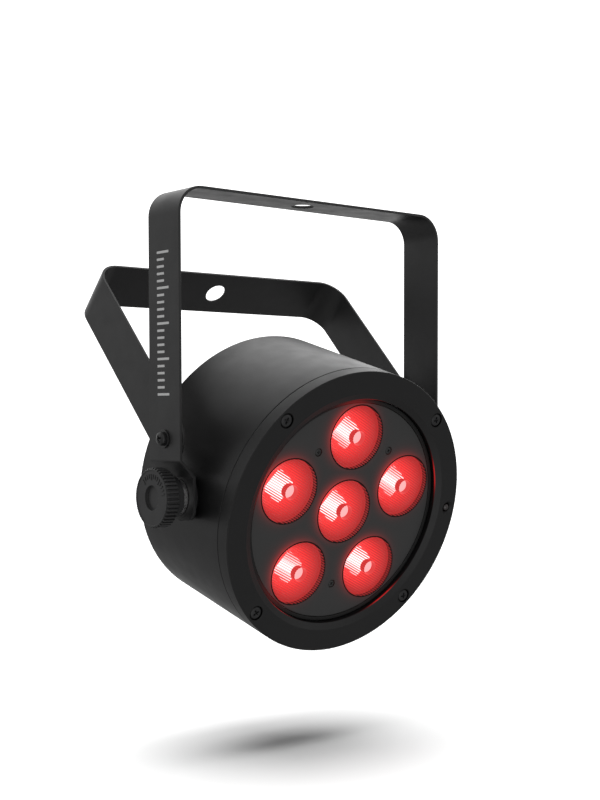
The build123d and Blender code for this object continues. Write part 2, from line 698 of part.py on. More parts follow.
def display_window():
    return soft_block(DISPLAY_WIDTH, DISPLAY_HEIGHT, REAR_PANEL_BACK_Z + 0.1, -43.6, 1.0, 0, DISPLAY_Y)


CONTROL_BOARD_BACK = -36.0
CONTROL_BOARD_Y = 29.0


def display_module():
    """Four seven-segment digits in one block."""
    return block(42.0, 13.0, -43.5, CONTROL_BOARD_BACK, 0, DISPLAY_Y)


def control_board():
    return block(74.0, 40.0, CONTROL_BOARD_BACK, CONTROL_BOARD_BACK + BOARD_THICKNESS, 0, CONTROL_BOARD_Y)


def control_board_posts():
    front = CONTROL_BOARD_BACK
    posts = []
    for x in (-33.0, 33.0):
        for y in (CONTROL_BOARD_Y - 15.0, CONTROL_BOARD_Y + 15.0):
            posts.append(disc(2.5, REAR_PANEL_FRONT_Z, front, x, y))
    return posts


def button_switches():
    switch = block(6.0, 6.0, CONTROL_BOARD_BACK - 3.0, CONTROL_BOARD_BACK)
    return Compound([Pos(x, BUTTON_Y, 0) * switch for x in BUTTON_X])


def button(x):
    """One square key cap with a collar behind the panel and a stem to its switch."""
    top = REAR_PANEL_BACK_Z - 1.4
    body = soft_block(BUTTON_SIZE, BUTTON_SIZE, top, REAR_PANEL_FRONT_Z + 0.1, 1.0, x, BUTTON_Y)
    outer_edges = body.edges().group_by(Axis.Z)[0]
    body = chamfer(outer_edges, 0.35)
    body += soft_block(9.8, 9.8, REAR_PANEL_FRONT_Z + 0.05, REAR_PANEL_FRONT_Z + 1.0, 1.0, x, BUTTON_Y)
    body += disc(2.0, REAR_PANEL_FRONT_Z, CONTROL_BOARD_BACK - 4.2, x, BUTTON_Y)
    return body


POWER_BOARD_BACK = -35.0
POWER_BOARD_FRONT = POWER_BOARD_BACK + BOARD_THICKNESS
POWER_BOARD_X = 2.0
POWER_BOARD_Y = -44.0


def power_board():
    return block(80.0, 26.0, POWER_BOARD_BACK, POWER_BOARD_FRONT, POWER_BOARD_X, POWER_BOARD_Y)


def power_board_posts():
    posts = []
    for x in (-35.0, 39.0):
        for y in (-54.0, -34.0):
            posts.append(disc(2.2, REAR_PANEL_FRONT_Z, POWER_BOARD_BACK, x, y))
    return posts


def brass_posts():
    """Every threaded post: behind the front panel and under both rear boards."""
    return panel_posts() + control_board_posts() + power_board_posts()


def power_transformer():
    """Ferrite core with its winding showing on two sides."""
    low = POWER_BOARD_FRONT
    core = block(22.0, 20.0, low, low + 17.0, 20.0, POWER_BOARD_Y)
    winding = block(14.0, 24.0, low + 2.0, low + 15.0, 20.0, POWER_BOARD_Y)
    return core + winding


def power_capacitors():
    low = POWER_BOARD_FRONT
    cans = []
    for x in (-28.0, -13.0):
        can = disc(6.0, low, low + 18.0, x, POWER_BOARD_Y)
        cans.append(chamfer(can.edges().group_by(Axis.Z)[-1], 0.6))
    return Compound(cans)


def led_lead():
    """The two-core lead from the power board past the heat sink to the LED board."""
    route = [
        (0, -53.0, POWER_BOARD_FRONT),
        (0, -53.0, -22.0),
        (0, -LEAD_LANE, -12.0),
        (0, -LEAD_LANE, 27.5),
        (0, -57.0, 27.5),
        (0, -57.0, LED_BOARD_FRONT_Z),
    ]
    path = FilletPolyline(*route, radius=2.6)
    start = Plane(origin=route[0], z_dir=(0, 0, 1))
    return sweep(start * Circle(LEAD_R), path=path)


# ---- write every piece ----
def save(name, shape):
    if isinstance(shape, list):
        shape = Compound(shape)
    shape.label = name
    export_step(shape, f"parts/{name}.step")


def save_head(name, shape):
    if isinstance(shape, list):
        shape = Compound(shape)
    save(name, HEAD * shape)


def main():
    os.makedirs("parts", exist_ok=True)

    save("front_yoke", front_yoke())
    save("pivot_screws", pivot_screws())
    save("pivot_washers", pivot_washers())
    save("pivot_nuts", pivot_nuts())
    save("rear_yoke", rear_yoke())

    head_pieces = {
        "housing": housing,
        "bezel": bezel,
        "bezel_gasket": bezel_gasket,
        "bezel_screws": bezel_screws,
        "lens_panel": lens_panel,
        "panel_seal": panel_seal,
        "panel_carrier": panel_carrier,
        "panel_screws": panel_screws,
        "brass_posts": brass_posts,
        "led_board": led_board,
        "heat_sink": heat_sink,
        "heat_sink_screws": heat_sink_screws,
        "infrared_window": infrared_window,
        "infrared_board": infrared_board,
        "rear_panel": rear_panel,
        "rear_panel_screws": rear_panel_screws,
        "power_inlet": power_inlet,
        "socket_contacts": socket_contacts,
        "power_outlet": power_outlet,
        "data_input": data_input,
        "data_output": data_output,
        "data_latch": data_latch,
        "flange_screws": flange_screws,
        "fuse_holder": fuse_holder,
        "fuse_cap": fuse_cap,
        "fuse": fuse,
        "eyelet": eyelet,
        "display_window": display_window,
        "display_module": display_module,
        "control_board": control_board,
        "button_switches": button_switches,
        "power_board": power_board,
        "power_transformer": power_transformer,
        "power_capacitors": power_capacitors,
        "led_lead": led_lead,
    }
    for name, make in head_pieces.items():
        save_head(name, make())

    one_lens = lens()
    for number, (x, y) in enumerate(lens_places()):
        save_head(f"lens_{number}", Pos(x, y, 0) * one_lens)
    save_head("lens_cups", [Pos(x, y, 0) * lens_cup() for x, y in lens_places()])
    save_head("emitters", [Pos(x, y, 0) * emitter() for x, y in lens_places()])

    for name, x in zip(("menu", "up", "down", "enter"), BUTTON_X):
        save_head(f"button_{name}", button(x))

    save("tilt_inserts", tilt_inserts())
    save("friction_pads", friction_pads())
    washer = knob_washer()
    grip = knob_grip()
    stud = knob_stud()
    for name, side in SIDES:
        save(f"knob_washer_{name}", TILT_AXIS * side * washer)
        save(f"knob_{name}", TILT_AXIS * side * grip)
        save(f"knob_stud_{name}", TILT_AXIS * side * stud)


main()
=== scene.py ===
import json
from math import acos, atan2, cos, hypot, pi, radians, sin, sqrt, tan

import bmesh
import bpy
from mathutils import Matrix, Vector


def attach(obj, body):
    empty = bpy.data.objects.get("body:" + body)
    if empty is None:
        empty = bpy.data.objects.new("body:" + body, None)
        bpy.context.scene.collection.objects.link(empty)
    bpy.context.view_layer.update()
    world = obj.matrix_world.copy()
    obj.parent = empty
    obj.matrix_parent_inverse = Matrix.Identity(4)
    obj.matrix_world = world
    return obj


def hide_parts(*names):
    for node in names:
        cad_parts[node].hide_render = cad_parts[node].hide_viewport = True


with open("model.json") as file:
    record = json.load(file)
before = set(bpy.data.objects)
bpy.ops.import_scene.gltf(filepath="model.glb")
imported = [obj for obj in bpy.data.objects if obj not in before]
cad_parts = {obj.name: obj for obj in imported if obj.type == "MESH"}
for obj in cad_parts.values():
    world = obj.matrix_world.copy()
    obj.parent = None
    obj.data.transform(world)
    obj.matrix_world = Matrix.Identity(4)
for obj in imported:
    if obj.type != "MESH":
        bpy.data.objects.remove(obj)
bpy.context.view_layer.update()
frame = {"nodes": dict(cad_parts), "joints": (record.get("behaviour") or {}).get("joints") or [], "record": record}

# The looks of a compact LED par can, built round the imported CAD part.
# Outlines are drawn in millimetres in a piece's own axes; MM turns them into metres.

MM = 0.001

# ---- places taken from the frame ----
JOINTS = {joint["name"]: joint for joint in frame["joints"]}
MOUNTS = {mount["name"]: mount for mount in frame["record"]["mounts"]}
TILT_AXIS = Vector(JOINTS["lamp_tilt"]["pos_m"])
REAR_PIVOT = Vector(JOINTS["rear_yoke_swing"]["pos_m"])
BEAM = -Vector(JOINTS["fuse_cap_turn"]["axis"])
ACROSS = Vector((1, 0, 0))
UP = Vector((0, 0, 1))


def axes_at(origin, x, z):
    """A right-handed set of axes at a point, from its X and Z directions."""
    x, z = Vector(x).normalized(), Vector(z).normalized()
    turn_to = Matrix((x, z.cross(x), z)).transposed()
    return Matrix.Translation(origin) @ turn_to.to_4x4()


HEAD = axes_at(TILT_AXIS, ACROSS, BEAM)          # +Z along the light, +Y up across it
HANGING = axes_at(TILT_AXIS, ACROSS, UP)
REAR = axes_at(REAR_PIVOT, ACROSS, MOUNTS["rear_yoke_hole"]["axis"])
SIDES = {
    "left": axes_at(TILT_AXIS, UP, -ACROSS),     # +Z outwards along the tilt axis
    "right": axes_at(TILT_AXIS, -UP, ACROSS),
}


def measure(node, place):
    """Lowest and highest corner of a CAD node in a piece's own axes, in millimetres."""
    back = place.inverted()
    spots = [back @ v.co / MM for v in frame["nodes"][node].data.vertices]
    low = Vector([min(p[i] for p in spots) for i in range(3)])
    high = Vector([max(p[i] for p in spots) for i in range(3)])
    return low, high


# ---- driving dimensions, in millimetres ----
STRAP_WIDTH = 30.0
STRAP_THICKNESS = 1.5
STRAP_EDGE = 0.2              # rounding of the strap's long edges
JOGGLE_TOP = 19.7
JOGGLE_STEP = 8.55
JOGGLE_BEND_R = 1.75
YOKE_BEND_R = 14.25
LEG_END_CORNER_R = 6.0
REAR_YOKE_BEND_R = 14.2
REAR_LEG_END_R = 12.6
REAR_LEG_TAPER_START = 6.4
HANGING_HOLE_R = 6.5
PIVOT_HOLE_R = 2.1
PIVOT_WASHER_R = 5.0
PIVOT_WASHER = 1.0            # its thickness
WASHER_HOLE_R = 4.2
NUT_HEIGHT = 3.6
STUD_HOLE_R = 4.5
MARK_COUNT = 21               # printed scale on the left leg
MARK_STEP = 3.8
MARK_TOP = -34.0
MARK_LONG = 11.5
MARK_SHORT = 7.0
MARK_THICK = 1.3
MARK_EDGE = 6.5
WALL = 2.5
BOSS_R = 13.2
BEZEL_FLAT_R = 69.7
BEZEL_BORE_R = 66.0
BEZEL_CHAMFER_DEPTH = 1.8
BEZEL_FACE_THICKNESS = 3.0
BEZEL_HUB_R = 70.5
BEZEL_HUB_BACK = 37.6
BEZEL_BOSS_R = 4.6
WINDOW_HOLE_R = 2.7
WINDOW_MOUTH_R = 4.4
GASKET_INNER_R = 72.5
LEDGE_R = 75.5
LEDGE_HEIGHT = 4.0
BOSS_START = 70.0             # from the middle of the drum
STUD_POCKET_R = 6.05
STUD_POCKET_START = 76.0
BEZEL_SCREW_R = 76.7
BEZEL_SCREW_ANGLES = (45, 135, 225, 315)
COUNTERBORE_R = 4.2
COUNTERBORE_DEPTH = 2.0
PANEL_R = 63.2
PANEL_SCREW_ANGLES = (54, 126, 270)
PANEL_SINK_R = 2.35
PANEL_SINK_DEPTH = 1.3
LENS_R = 18.5
LENS_SEAL_WIDTH = 0.4
LENS_CIRCLE_R = 43.4
LENS_ANGLES = (90, 162, 234, 306, 18)
LENS_CROWN = 2.2
KNOB_RIBS = 42
KNOB_GRIP_START = 94.8
KNOB_RIB_DEPTH = 1.1
KNOB_HUB_R = 6.7
KNOB_FACE_SINK = 0.35
KNOB_TICKS = 13               # plain marks in an arc on the knob's face
KNOB_FIRST_TICK = 42
KNOB_TICK_STEP = 10

YOKE_LOW, YOKE_HIGH = measure("front_yoke", HANGING)
REAR_YOKE_HIGH = measure("rear_yoke", REAR)[1]
BEZEL_LOW, BEZEL_HIGH = measure("bezel", HEAD)
HOUSING_LOW, HOUSING_HIGH = measure("housing", HEAD)
PANEL_LOW, PANEL_HIGH = measure("lens_panel", HEAD)
BODY_R = BEZEL_HIGH.x
FACE_Z = BEZEL_HIGH.z
PANEL_FRONT_Z = PANEL_HIGH.z


# ---- materials; cells are per metre, bump depths in metres ----
CLOUD_CELLS = 35
CLOUD_TONE = 0.08
SHEEN_CELLS = 90
SHEEN_UNEVEN = 0.1
METAL_LINES = 500
METAL_LINE_DEPTH = 0.000004


def tree_of(name):
    material = bpy.data.materials.new(name)
    material.use_nodes = True
    tree = material.node_tree
    shader = tree.nodes["Principled BSDF"]
    return material, tree, shader


def put(target, **values):
    """Set sockets by name, with _ for a space."""
    for key, value in values.items():
        target.inputs[key.replace("_", " ")].default_value = value


def node(tree, kind, **values):
    made = tree.nodes.new("ShaderNode" + kind)
    put(made, **values)
    return made


def noise(tree, scale, detail=3.0, stretch=None):
    """Noise in the piece's own axes; scale is cells per metre."""
    where = node(tree, "TexCoord").outputs["Object"]
    if stretch:
        mapping = node(tree, "Mapping", Scale=stretch)
        tree.links.new(where, mapping.inputs["Vector"])
        where = mapping.outputs["Vector"]
    made = node(tree, "TexNoise", Scale=scale, Detail=detail, Roughness=0.55)
    tree.links.new(where, made.inputs["Vector"])
    return made.outputs["Fac"]


def spread(tree, source, low, high, start=0.3, end=0.7):
    """Map a noise value from start..end to low..high."""
    made = node(tree, "MapRange", From_Min=start, From_Max=end, To_Min=low, To_Max=high)
    tree.links.new(source, made.inputs["Value"])
    return made.outputs["Result"]


def blend_colours(tree, factor, first, second):
    made = node(tree, "Mix")
    made.data_type = "RGBA"
    put(made, A=(*first, 1), B=(*second, 1))
    tree.links.new(factor, made.inputs["Factor"])
    return made.outputs["Result"]


def bump(tree, shader, height, depth):
    """Raise the surface by height x depth metres."""
    made = node(tree, "Bump", Strength=1.0, Distance=depth)
    tree.links.new(height, made.inputs["Height"])
    tree.links.new(made.outputs["Normal"], shader.inputs["Normal"])


def maths(tree, operation, first, second=None):
    made = node(tree, "Math")
    made.operation = operation
    for index, value in enumerate((first, second)):
        if value is None:
            continue
        if isinstance(value, (int, float)):
            made.inputs[index].default_value = value
        else:
            tree.links.new(value, made.inputs[index])
    return made.outputs["Value"]


def polar(radius, angle):
    return radius * cos(radians(angle)), radius * sin(radians(angle))


def lens_places():
    return [(0.0, 0.0)] + [polar(LENS_CIRCLE_R, angle) for angle in LENS_ANGLES]


def painted_lens_glow(material, reach, brightness, start=0.0, shift=(-2.6, 1.7), most=6.0):
    """Painted red light from the lit lenses on the surface beside them, put into the surface as emission.

    It fades over reach millimetres from start outside a lens, with the lenses moved by shift.
    """
    tree = material.node_tree
    shader = tree.nodes["Principled BSDF"]
    flat = node(tree, "VectorMath")
    flat.operation = "MULTIPLY"
    flat.inputs[1].default_value = (1 / MM, 1 / MM, 0)
    tree.links.new(node(tree, "TexCoord").outputs["Object"], flat.inputs[0])
    nearest = None
    for x, y in lens_places():
        made = node(tree, "VectorMath")
        made.operation = "DISTANCE"
        made.inputs[1].default_value = (x + shift[0], y + shift[1], 0)
        tree.links.new(flat.outputs["Vector"], made.inputs[0])
        distance = made.outputs["Value"]
        nearest = distance if nearest is None else maths(tree, "MINIMUM", nearest, distance)
    share = maths(tree, "DIVIDE", maths(tree, "SUBTRACT", LENS_R + start, nearest), reach)
    fade = maths(tree, "MINIMUM", maths(tree, "EXPONENT", share), most)
    # The painted red light: emission that fades with distance from the nearest lens.
    tree.links.new(maths(tree, "MULTIPLY", fade, brightness), shader.inputs["Emission Strength"])
    put(shader, Emission_Color=(1.0, 0.02, 0.02, 1))


def coated(name, colour, roughness, grain, depth, specular=0.5):
    """Painted or moulded surface: fine grain, an uneven sheen and slightly cloudy colour."""
    material, tree, shader = tree_of(name)
    put(shader, Specular_IOR_Level=specular)
    cloud = noise(tree, CLOUD_CELLS, detail=4)
    lighter = [min(1, c * (1 + CLOUD_TONE)) for c in colour]
    darker = [c * (1 - CLOUD_TONE) for c in colour]
    tree.links.new(blend_colours(tree, cloud, darker, lighter), shader.inputs["Base Color"])
    fine = noise(tree, grain, detail=2)
    low, high = roughness * (1 - SHEEN_UNEVEN), roughness * (1 + SHEEN_UNEVEN)
    sheen = spread(tree, noise(tree, SHEEN_CELLS, detail=5), low, high)
    tree.links.new(sheen, shader.inputs["Roughness"])
    bump(tree, shader, fine, depth)
    return material


def bare_metal(name, colour, roughness, stretch):
    """Bright metal with fine machining lines along one axis."""
    material, tree, shader = tree_of(name)
    put(shader, Metallic=1.0)
    lines = noise(tree, METAL_LINES, stretch=stretch)
    darker = [c * 0.8 for c in colour]
    tree.links.new(blend_colours(tree, lines, darker, colour), shader.inputs["Base Color"])
    tree.links.new(spread(tree, lines, roughness * 0.7, roughness * 1.4), shader.inputs["Roughness"])
    bump(tree, shader, lines, METAL_LINE_DEPTH)
    return material


def emitting(name, colour, strength):
    """A lit surface over a very dark red body."""
    material, tree, shader = tree_of(name)
    cloud = noise(tree, 400, detail=2)
    tree.links.new(blend_colours(tree, cloud, (0.014, 0, 0), (0.02, 0, 0)), shader.inputs["Base Color"])
    put(shader, Roughness=0.3, Emission_Color=(*colour, 1), Emission_Strength=strength)
    return material


YOKE_PAINT = coated("yoke_powder_coat", (0.027, 0.027, 0.0275), 0.44, 2400, 0.000012)
DRUM_PAINT = coated("drum_satin_paint", (0.008, 0.008, 0.0085), 0.36, 2600, 0.000008)
BEZEL_PAINT = coated("bezel_satin_paint", (0.006, 0.006, 0.0064), 0.40, 2600, 0.000008)
# Paint of the bezel's inner edge; further down it also gets a painted red reflection of the lenses.
WALL_PAINT_AND_REFLECTION = coated("bezel_inner_edge_painted_reflection", (0.008, 0.008, 0.0085), 0.40, 2600, 0.000008)
PANEL_BLACK = coated("panel_fine_matt", (0.047, 0.047, 0.047), 0.42, 3200, 0.000010)
SEAL_RUBBER = coated("seal_rubber", (0.006, 0.006, 0.006), 0.7, 1500, 0.00002)
GASKET_RUBBER = coated("gasket_rubber", (0.006, 0.006, 0.006), 0.7, 1500, 0.00002)
LENS_SEAL = coated("lens_seal_rubber", (0.003, 0.003, 0.003), 0.6, 1500, 0.00001, specular=0.25)
KNOB_PLASTIC = coated("knob_moulded", (0.034, 0.034, 0.035), 0.45, 3000, 0.000015)
BLACK_PLASTIC = coated("black_moulded", (0.014, 0.014, 0.014), 0.5, 2500, 0.000015)
SCREW_BLACK = coated("black_oxide_screw", (0.02, 0.02, 0.021), 0.33, 4000, 0.000006)
PANEL_SCREW = coated("panel_screw_matt", (0.034, 0.034, 0.034), 0.45, 4000, 0.000006)
REAR_PAINT = coated("rear_textured_paint", (0.012, 0.012, 0.0125), 0.5, 1400, 0.00003)
SOCKET_BLUE = coated("socket_blue", (0.02, 0.09, 0.30), 0.4, 2500, 0.00001)
SOCKET_GREY = coated("socket_grey", (0.33, 0.34, 0.35), 0.42, 2500, 0.00001)
BUTTON_GREY = coated("button_grey", (0.10, 0.10, 0.105), 0.5, 2500, 0.00001)
DARK_PART = coated("dark_component", (0.02, 0.02, 0.023), 0.45, 2500, 0.00001)
BOARD_WHITE = coated("board_white", (0.75, 0.75, 0.72), 0.45, 1500, 0.00001)
BOARD_GREEN = coated("board_green", (0.01, 0.09, 0.03), 0.35, 900, 0.00001)
LEAD_RED = coated("lead_red", (0.35, 0.01, 0.01), 0.45, 2000, 0.00001)
DISPLAY_TINT = coated("display_tint", (0.018, 0.002, 0.002), 0.12, 900, 0.000002, specular=0.7)
ZINC_BRIGHT = bare_metal("bright_zinc", (0.95, 0.95, 0.95), 0.3, (1, 1, 1))
ZINC_STUD = bare_metal("stud_zinc", (0.62, 0.62, 0.63), 0.3, (8, 1, 1))
ALUMINIUM = bare_metal("extruded_aluminium", (0.75, 0.75, 0.77), 0.35, (1, 8, 1))
BRASS = bare_metal("brass", (0.75, 0.55, 0.22), 0.25, (1, 1, 1))
PRINT_GREY = coated("printed_grey", (0.82, 0.82, 0.82), 0.5, 3000, 0.000005)
INFRARED_TINT = coated("infrared_tint", (0.03, 0.02, 0.02), 0.06, 900, 0.000001, specular=1.0)
FIGURE_LIT = emitting("display_figure_lit", (1.0, 0.03, 0.02), 2.2)
FIGURE_DARK = coated("display_figure_dark", (0.035, 0.006, 0.006), 0.3, 2500, 0.000002)
# Painted red light from the lenses on the front panel round them.
painted_lens_glow(PANEL_BLACK, 1.9, 0.085)
# Painted red light from the lenses on the panel's seal ring, moved further to one side.
painted_lens_glow(SEAL_RUBBER, 1.8, 0.07, start=0.6, shift=(-4.6, 2.5), most=1.6)
# Painted red reflection of the lenses on the bezel's inner edge.
painted_lens_glow(WALL_PAINT_AND_REFLECTION, 0.9, 0.40, start=4.4, shift=(0.0, 0.0), most=1.0)


# ---- outlines ----
def soften(points, radius, steps=4):
    """Round the corners of an outline. radius is one number, or one for each point, 0 for sharp."""
    count = len(points)
    radii = radius if isinstance(radius, (list, tuple)) else [radius] * count
    path = []
    for i, here in enumerate(points):
        if radii[i] <= 0:
            path.append(tuple(here))
            continue
        here = Vector(here)
        to_last = Vector(points[i - 1]) - here
        to_next = Vector(points[(i + 1) % count]) - here
        half = to_last.angle(to_next) / 2
        if half > pi / 2 - 0.01:
            path.append(tuple(here))
            continue
        reach = min(radii[i] / tan(half), to_last.length * 0.49, to_next.length * 0.49)
        size = reach * tan(half)
        bisector = (to_last.normalized() + to_next.normalized()).normalized()
        centre = here + bisector * (size / sin(half))
        first = here + to_last.normalized() * reach - centre
        last = here + to_next.normalized() * reach - centre
        sweep = first.angle_signed(last)
        for step in range(steps + 1):
            angle = -sweep * step / steps
            path.append(tuple(centre + Matrix.Rotation(angle, 2) @ first))
    return path


# ---- solids as bmesh, in millimetres ----
def mesh_of(bm, name):
    mesh = bpy.data.meshes.new(name)
    bm.to_mesh(mesh)
    bm.free()
    return mesh


def linked(name, data):
    made = bpy.data.objects.new(name, data)
    bpy.context.scene.collection.objects.link(made)
    return made


def turned(outline, steps=128):
    """Turn an outline of (radius, height) points about Z: a ring, or a solid if it meets the axis."""
    bm = bmesh.new()
    rings = []
    for radius, height in outline:
        if radius < 1e-6:
            rings.append([bm.verts.new((0, 0, height))] * steps)
            continue
        ring = [bm.verts.new((*polar(radius, 360 * i / steps), height)) for i in range(steps)]
        rings.append(ring)
    meets_axis = min(outline[0][0], outline[-1][0]) < 1e-6
    following = rings[1:] if meets_axis else rings[1:] + rings[:1]
    for low, high in zip(rings, following):
        for i in range(steps):
            j = (i + 1) % steps
            corners = []
            for vert in (low[i], low[j], high[j], high[i]):
                if vert not in corners:
                    corners.append(vert)
            if len(corners) > 2:
                bm.faces.new(corners)
    bmesh.ops.recalc_face_normals(bm, faces=bm.faces)
    return bm


def prism(outline, low, high, edge=0.0, steps=2):
    """A flat-sided solid with its top and bottom edges rounded."""
    bm = bmesh.new()
    face = bm.faces.new([bm.verts.new((x, y, low)) for x, y in outline])
    made = bmesh.ops.extrude_face_region(bm, geom=[face])
    lifted = [v for v in made["geom"] if isinstance(v, bmesh.types.BMVert)]
    bmesh.ops.translate(bm, verts=lifted, vec=(0, 0, high - low))
    bmesh.ops.recalc_face_normals(bm, faces=bm.faces)
    if edge > 0:
        rims = [e for e in bm.edges if abs(e.verts[0].co.z - e.verts[1].co.z) < 1e-6]
        bmesh.ops.bevel(bm, geom=rims, offset=edge, segments=steps, affect="EDGES", profile=0.5)
    return bm


def lofted(rings):
    """A solid through outlines of equal size, each a list of (x, y, z) points."""
    bm = bmesh.new()
    rows = [[bm.verts.new(spot) for spot in ring] for ring in rings]
    for low, high in zip(rows, rows[1:]):
        for i in range(len(low)):
            j = (i + 1) % len(low)
            bm.faces.new((low[i], low[j], high[j], high[i]))
    bm.faces.new(list(reversed(rows[0])))
    bm.faces.new(rows[-1])
    bmesh.ops.recalc_face_normals(bm, faces=bm.faces)
    return bm


def rectangle(width, height, corner=0.0, x=0.0, y=0.0, steps=4):
    w, h = width / 2, height / 2
    points = [(x + w, y + h), (x - w, y + h), (x - w, y - h), (x + w, y - h)]
    return soften(points, corner, steps=steps) if corner else points


def drill(radius, low, high, x=0.0, y=0.0, mouth=0.25, steps=64):
    """A cutter whose two ends flare, so that the hole it leaves has broken edges."""
    outline = [
        (0, low - 1),
        (radius + mouth + 1, low - 1),
        (radius, low + mouth),
        (radius, high - mouth),
        (radius + mouth + 1, high + 1),
        (0, high + 1),
    ]
    return shifted(turned(outline, steps), x, y)


def sink(radius, low, high, x=0.0, y=0.0, mouth=0.25, steps=48):
    """A cutter for a flat-bottomed hole that opens at its top."""
    outline = [(0, low), (radius, low), (radius, high - mouth), (radius + mouth + 1, high + 1), (0, high + 1)]
    return shifted(turned(outline, steps), x, y)


def moved(bm, matrix):
    bmesh.ops.transform(bm, matrix=matrix, verts=bm.verts)
    return bm


def shifted(bm, x, y, z=0.0):
    return moved(bm, Matrix.Translation((x, y, z)))


def spun(bm, angle):
    return moved(bm, Matrix.Rotation(radians(angle), 4, "Z"))


def hoop(inner, outer, low, high, corners, rounding, steps):
    """A ring of rectangular section; its corner radii run round from the inner low one."""
    section = [(inner, low), (outer, low), (outer, high), (inner, high)]
    return turned(soften(section, corners, rounding), steps)


def joined(*parts):
    """Several solids in one bmesh, each left whole."""
    whole = parts[0]
    for part in parts[1:]:
        mesh = mesh_of(part, "part")
        whole.from_mesh(mesh)
        bpy.data.meshes.remove(mesh)
    return whole


def holding(bm):
    return linked("temporary", mesh_of(bm, "temporary"))


def with_modifiers(holder, *others):
    """The holder's solid with its modifiers applied; the holder and the others are removed."""
    graph = bpy.context.evaluated_depsgraph_get()
    mesh = bpy.data.meshes.new_from_object(holder.evaluated_get(graph))
    result = bmesh.new()
    result.from_mesh(mesh)
    bpy.data.meshes.remove(mesh)
    for used in (holder, *others):
        old = used.data
        bpy.data.objects.remove(used)
        bpy.data.meshes.remove(old)
    return result


def combined(bm, other, operation):
    """bm with other cut from it, or added to it, as one clean solid."""
    target, tool = holding(bm), holding(other)
    modifier = target.modifiers.new("combine", "BOOLEAN")
    modifier.object = tool
    modifier.operation = operation
    modifier.solver = "EXACT"
    modifier.use_self = True
    return with_modifiers(target, tool)


def carved(bm, *cutters):
    return combined(bm, joined(*cutters), "DIFFERENCE")


# ---- finished pieces ----
def piece(name, bm, place, body, material, nodes=(), sharp=32.0):
    """Make an object of bm, which is in millimetres in the axes of place."""
    moved(bm, Matrix.Scale(MM, 4))
    mesh = mesh_of(bm, name)
    made = linked(name, mesh)
    made.matrix_world = place
    materials = material if isinstance(material, (list, tuple)) else [material]
    for one in materials:
        mesh.materials.append(one)
    mesh.shade_smooth()
    mesh.set_sharp_from_angle(angle=radians(sharp))
    level = made.modifiers.new("level", "WEIGHTED_NORMAL")
    level.keep_sharp = True
    level.weight = 80
    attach(made, body)
    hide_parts(*nodes)


def refined(node_name, new_name, body, material, slot, edge):
    """A finer copy of a CAD node of the head: coplanar triangles merged, sharp edges rounded."""
    bm = bmesh.new()
    bm.from_mesh(frame["nodes"][node_name].data)
    moved(bm, Matrix.Scale(1 / MM, 4) @ HEAD.inverted())
    bmesh.ops.remove_doubles(bm, verts=bm.verts, dist=0.001)
    bmesh.ops.dissolve_limit(bm, angle_limit=radians(0.4), verts=bm.verts, edges=bm.edges)
    holder = holding(bm)
    modifier = holder.modifiers.new("edges", "BEVEL")
    modifier.width = edge
    modifier.segments = 2
    modifier.limit_method = "ANGLE"
    modifier.angle_limit = radians(38)
    modifier.use_clamp_overlap = True
    result = with_modifiers(holder)
    for face in result.faces:
        face.material_index = 0
    piece(new_name, result, HEAD, body, material, [node_name])


# ---- the two yokes ----
def bent_strap(centre_line, half_width_at):
    """Sweep a flat strap with rounded edges along a line drawn in the XZ plane."""
    edge = STRAP_EDGE
    half = STRAP_THICKNESS / 2
    lengths = [0.0]
    for here, there in zip(centre_line, centre_line[1:]):
        lengths.append(lengths[-1] + hypot(there[0] - here[0], there[1] - here[1]))
    total = lengths[-1]
    rings = []
    for i, (x, z) in enumerate(centre_line):
        before = Vector(centre_line[max(i - 1, 0)])
        after = Vector(centre_line[min(i + 1, len(centre_line) - 1)])
        along = (after - before).normalized()
        normal = Vector((along.y, -along.x))
        width, end = half_width_at(min(lengths[i], total - lengths[i]))
        thick = half - edge * (1 - sqrt(max(0.0, 1 - (1 - min(end / edge, 1)) ** 2)))
        corner = min(edge, thick * 0.9)
        section = []
        for sign_y, sign_n, turn_by in ((1, 1, 0), (-1, 1, 90), (-1, -1, 180), (1, -1, 270)):
            for step in range(4):
                angle = radians(turn_by + 30 * step)
                section.append((
                    sign_y * (width - corner) + corner * cos(angle),
                    sign_n * (thick - corner) + corner * sin(angle),
                ))
        ring = []
        for y, n in section:
            spot = Vector((x, z)) + normal * n
            ring.append((spot.x, y, spot.y))
        rings.append(ring)
    return lofted(rings)


def end_stations(reach):
    """Distances from a strap's end where its outline needs points, close together at the end."""
    steps = 14
    return [reach * (1 - cos(radians(90 * i / steps))) for i in range(1, steps + 1)]


def with_ends(line, stations):
    """Add points near both ends of an open line of straight end runs."""
    points = [Vector(p) for p in line]

    def run(end, inner):
        return [end.lerp(inner, s / (inner - end).length) for s in stations]

    first = run(points[0], points[1])
    last = run(points[-1], points[-2])
    return [tuple(p) for p in [points[0], *first, *points[1:-1], *reversed(last), points[-1]]]


def across_holes(radius, height, low, high):
    """Drills through both legs at one height, along X."""
    places = [axes_at((0, 0, height), UP, sign * ACROSS) for sign in (-1, 1)]
    return [moved(drill(radius, low, high, mouth=0.2, steps=48), place) for place in places]


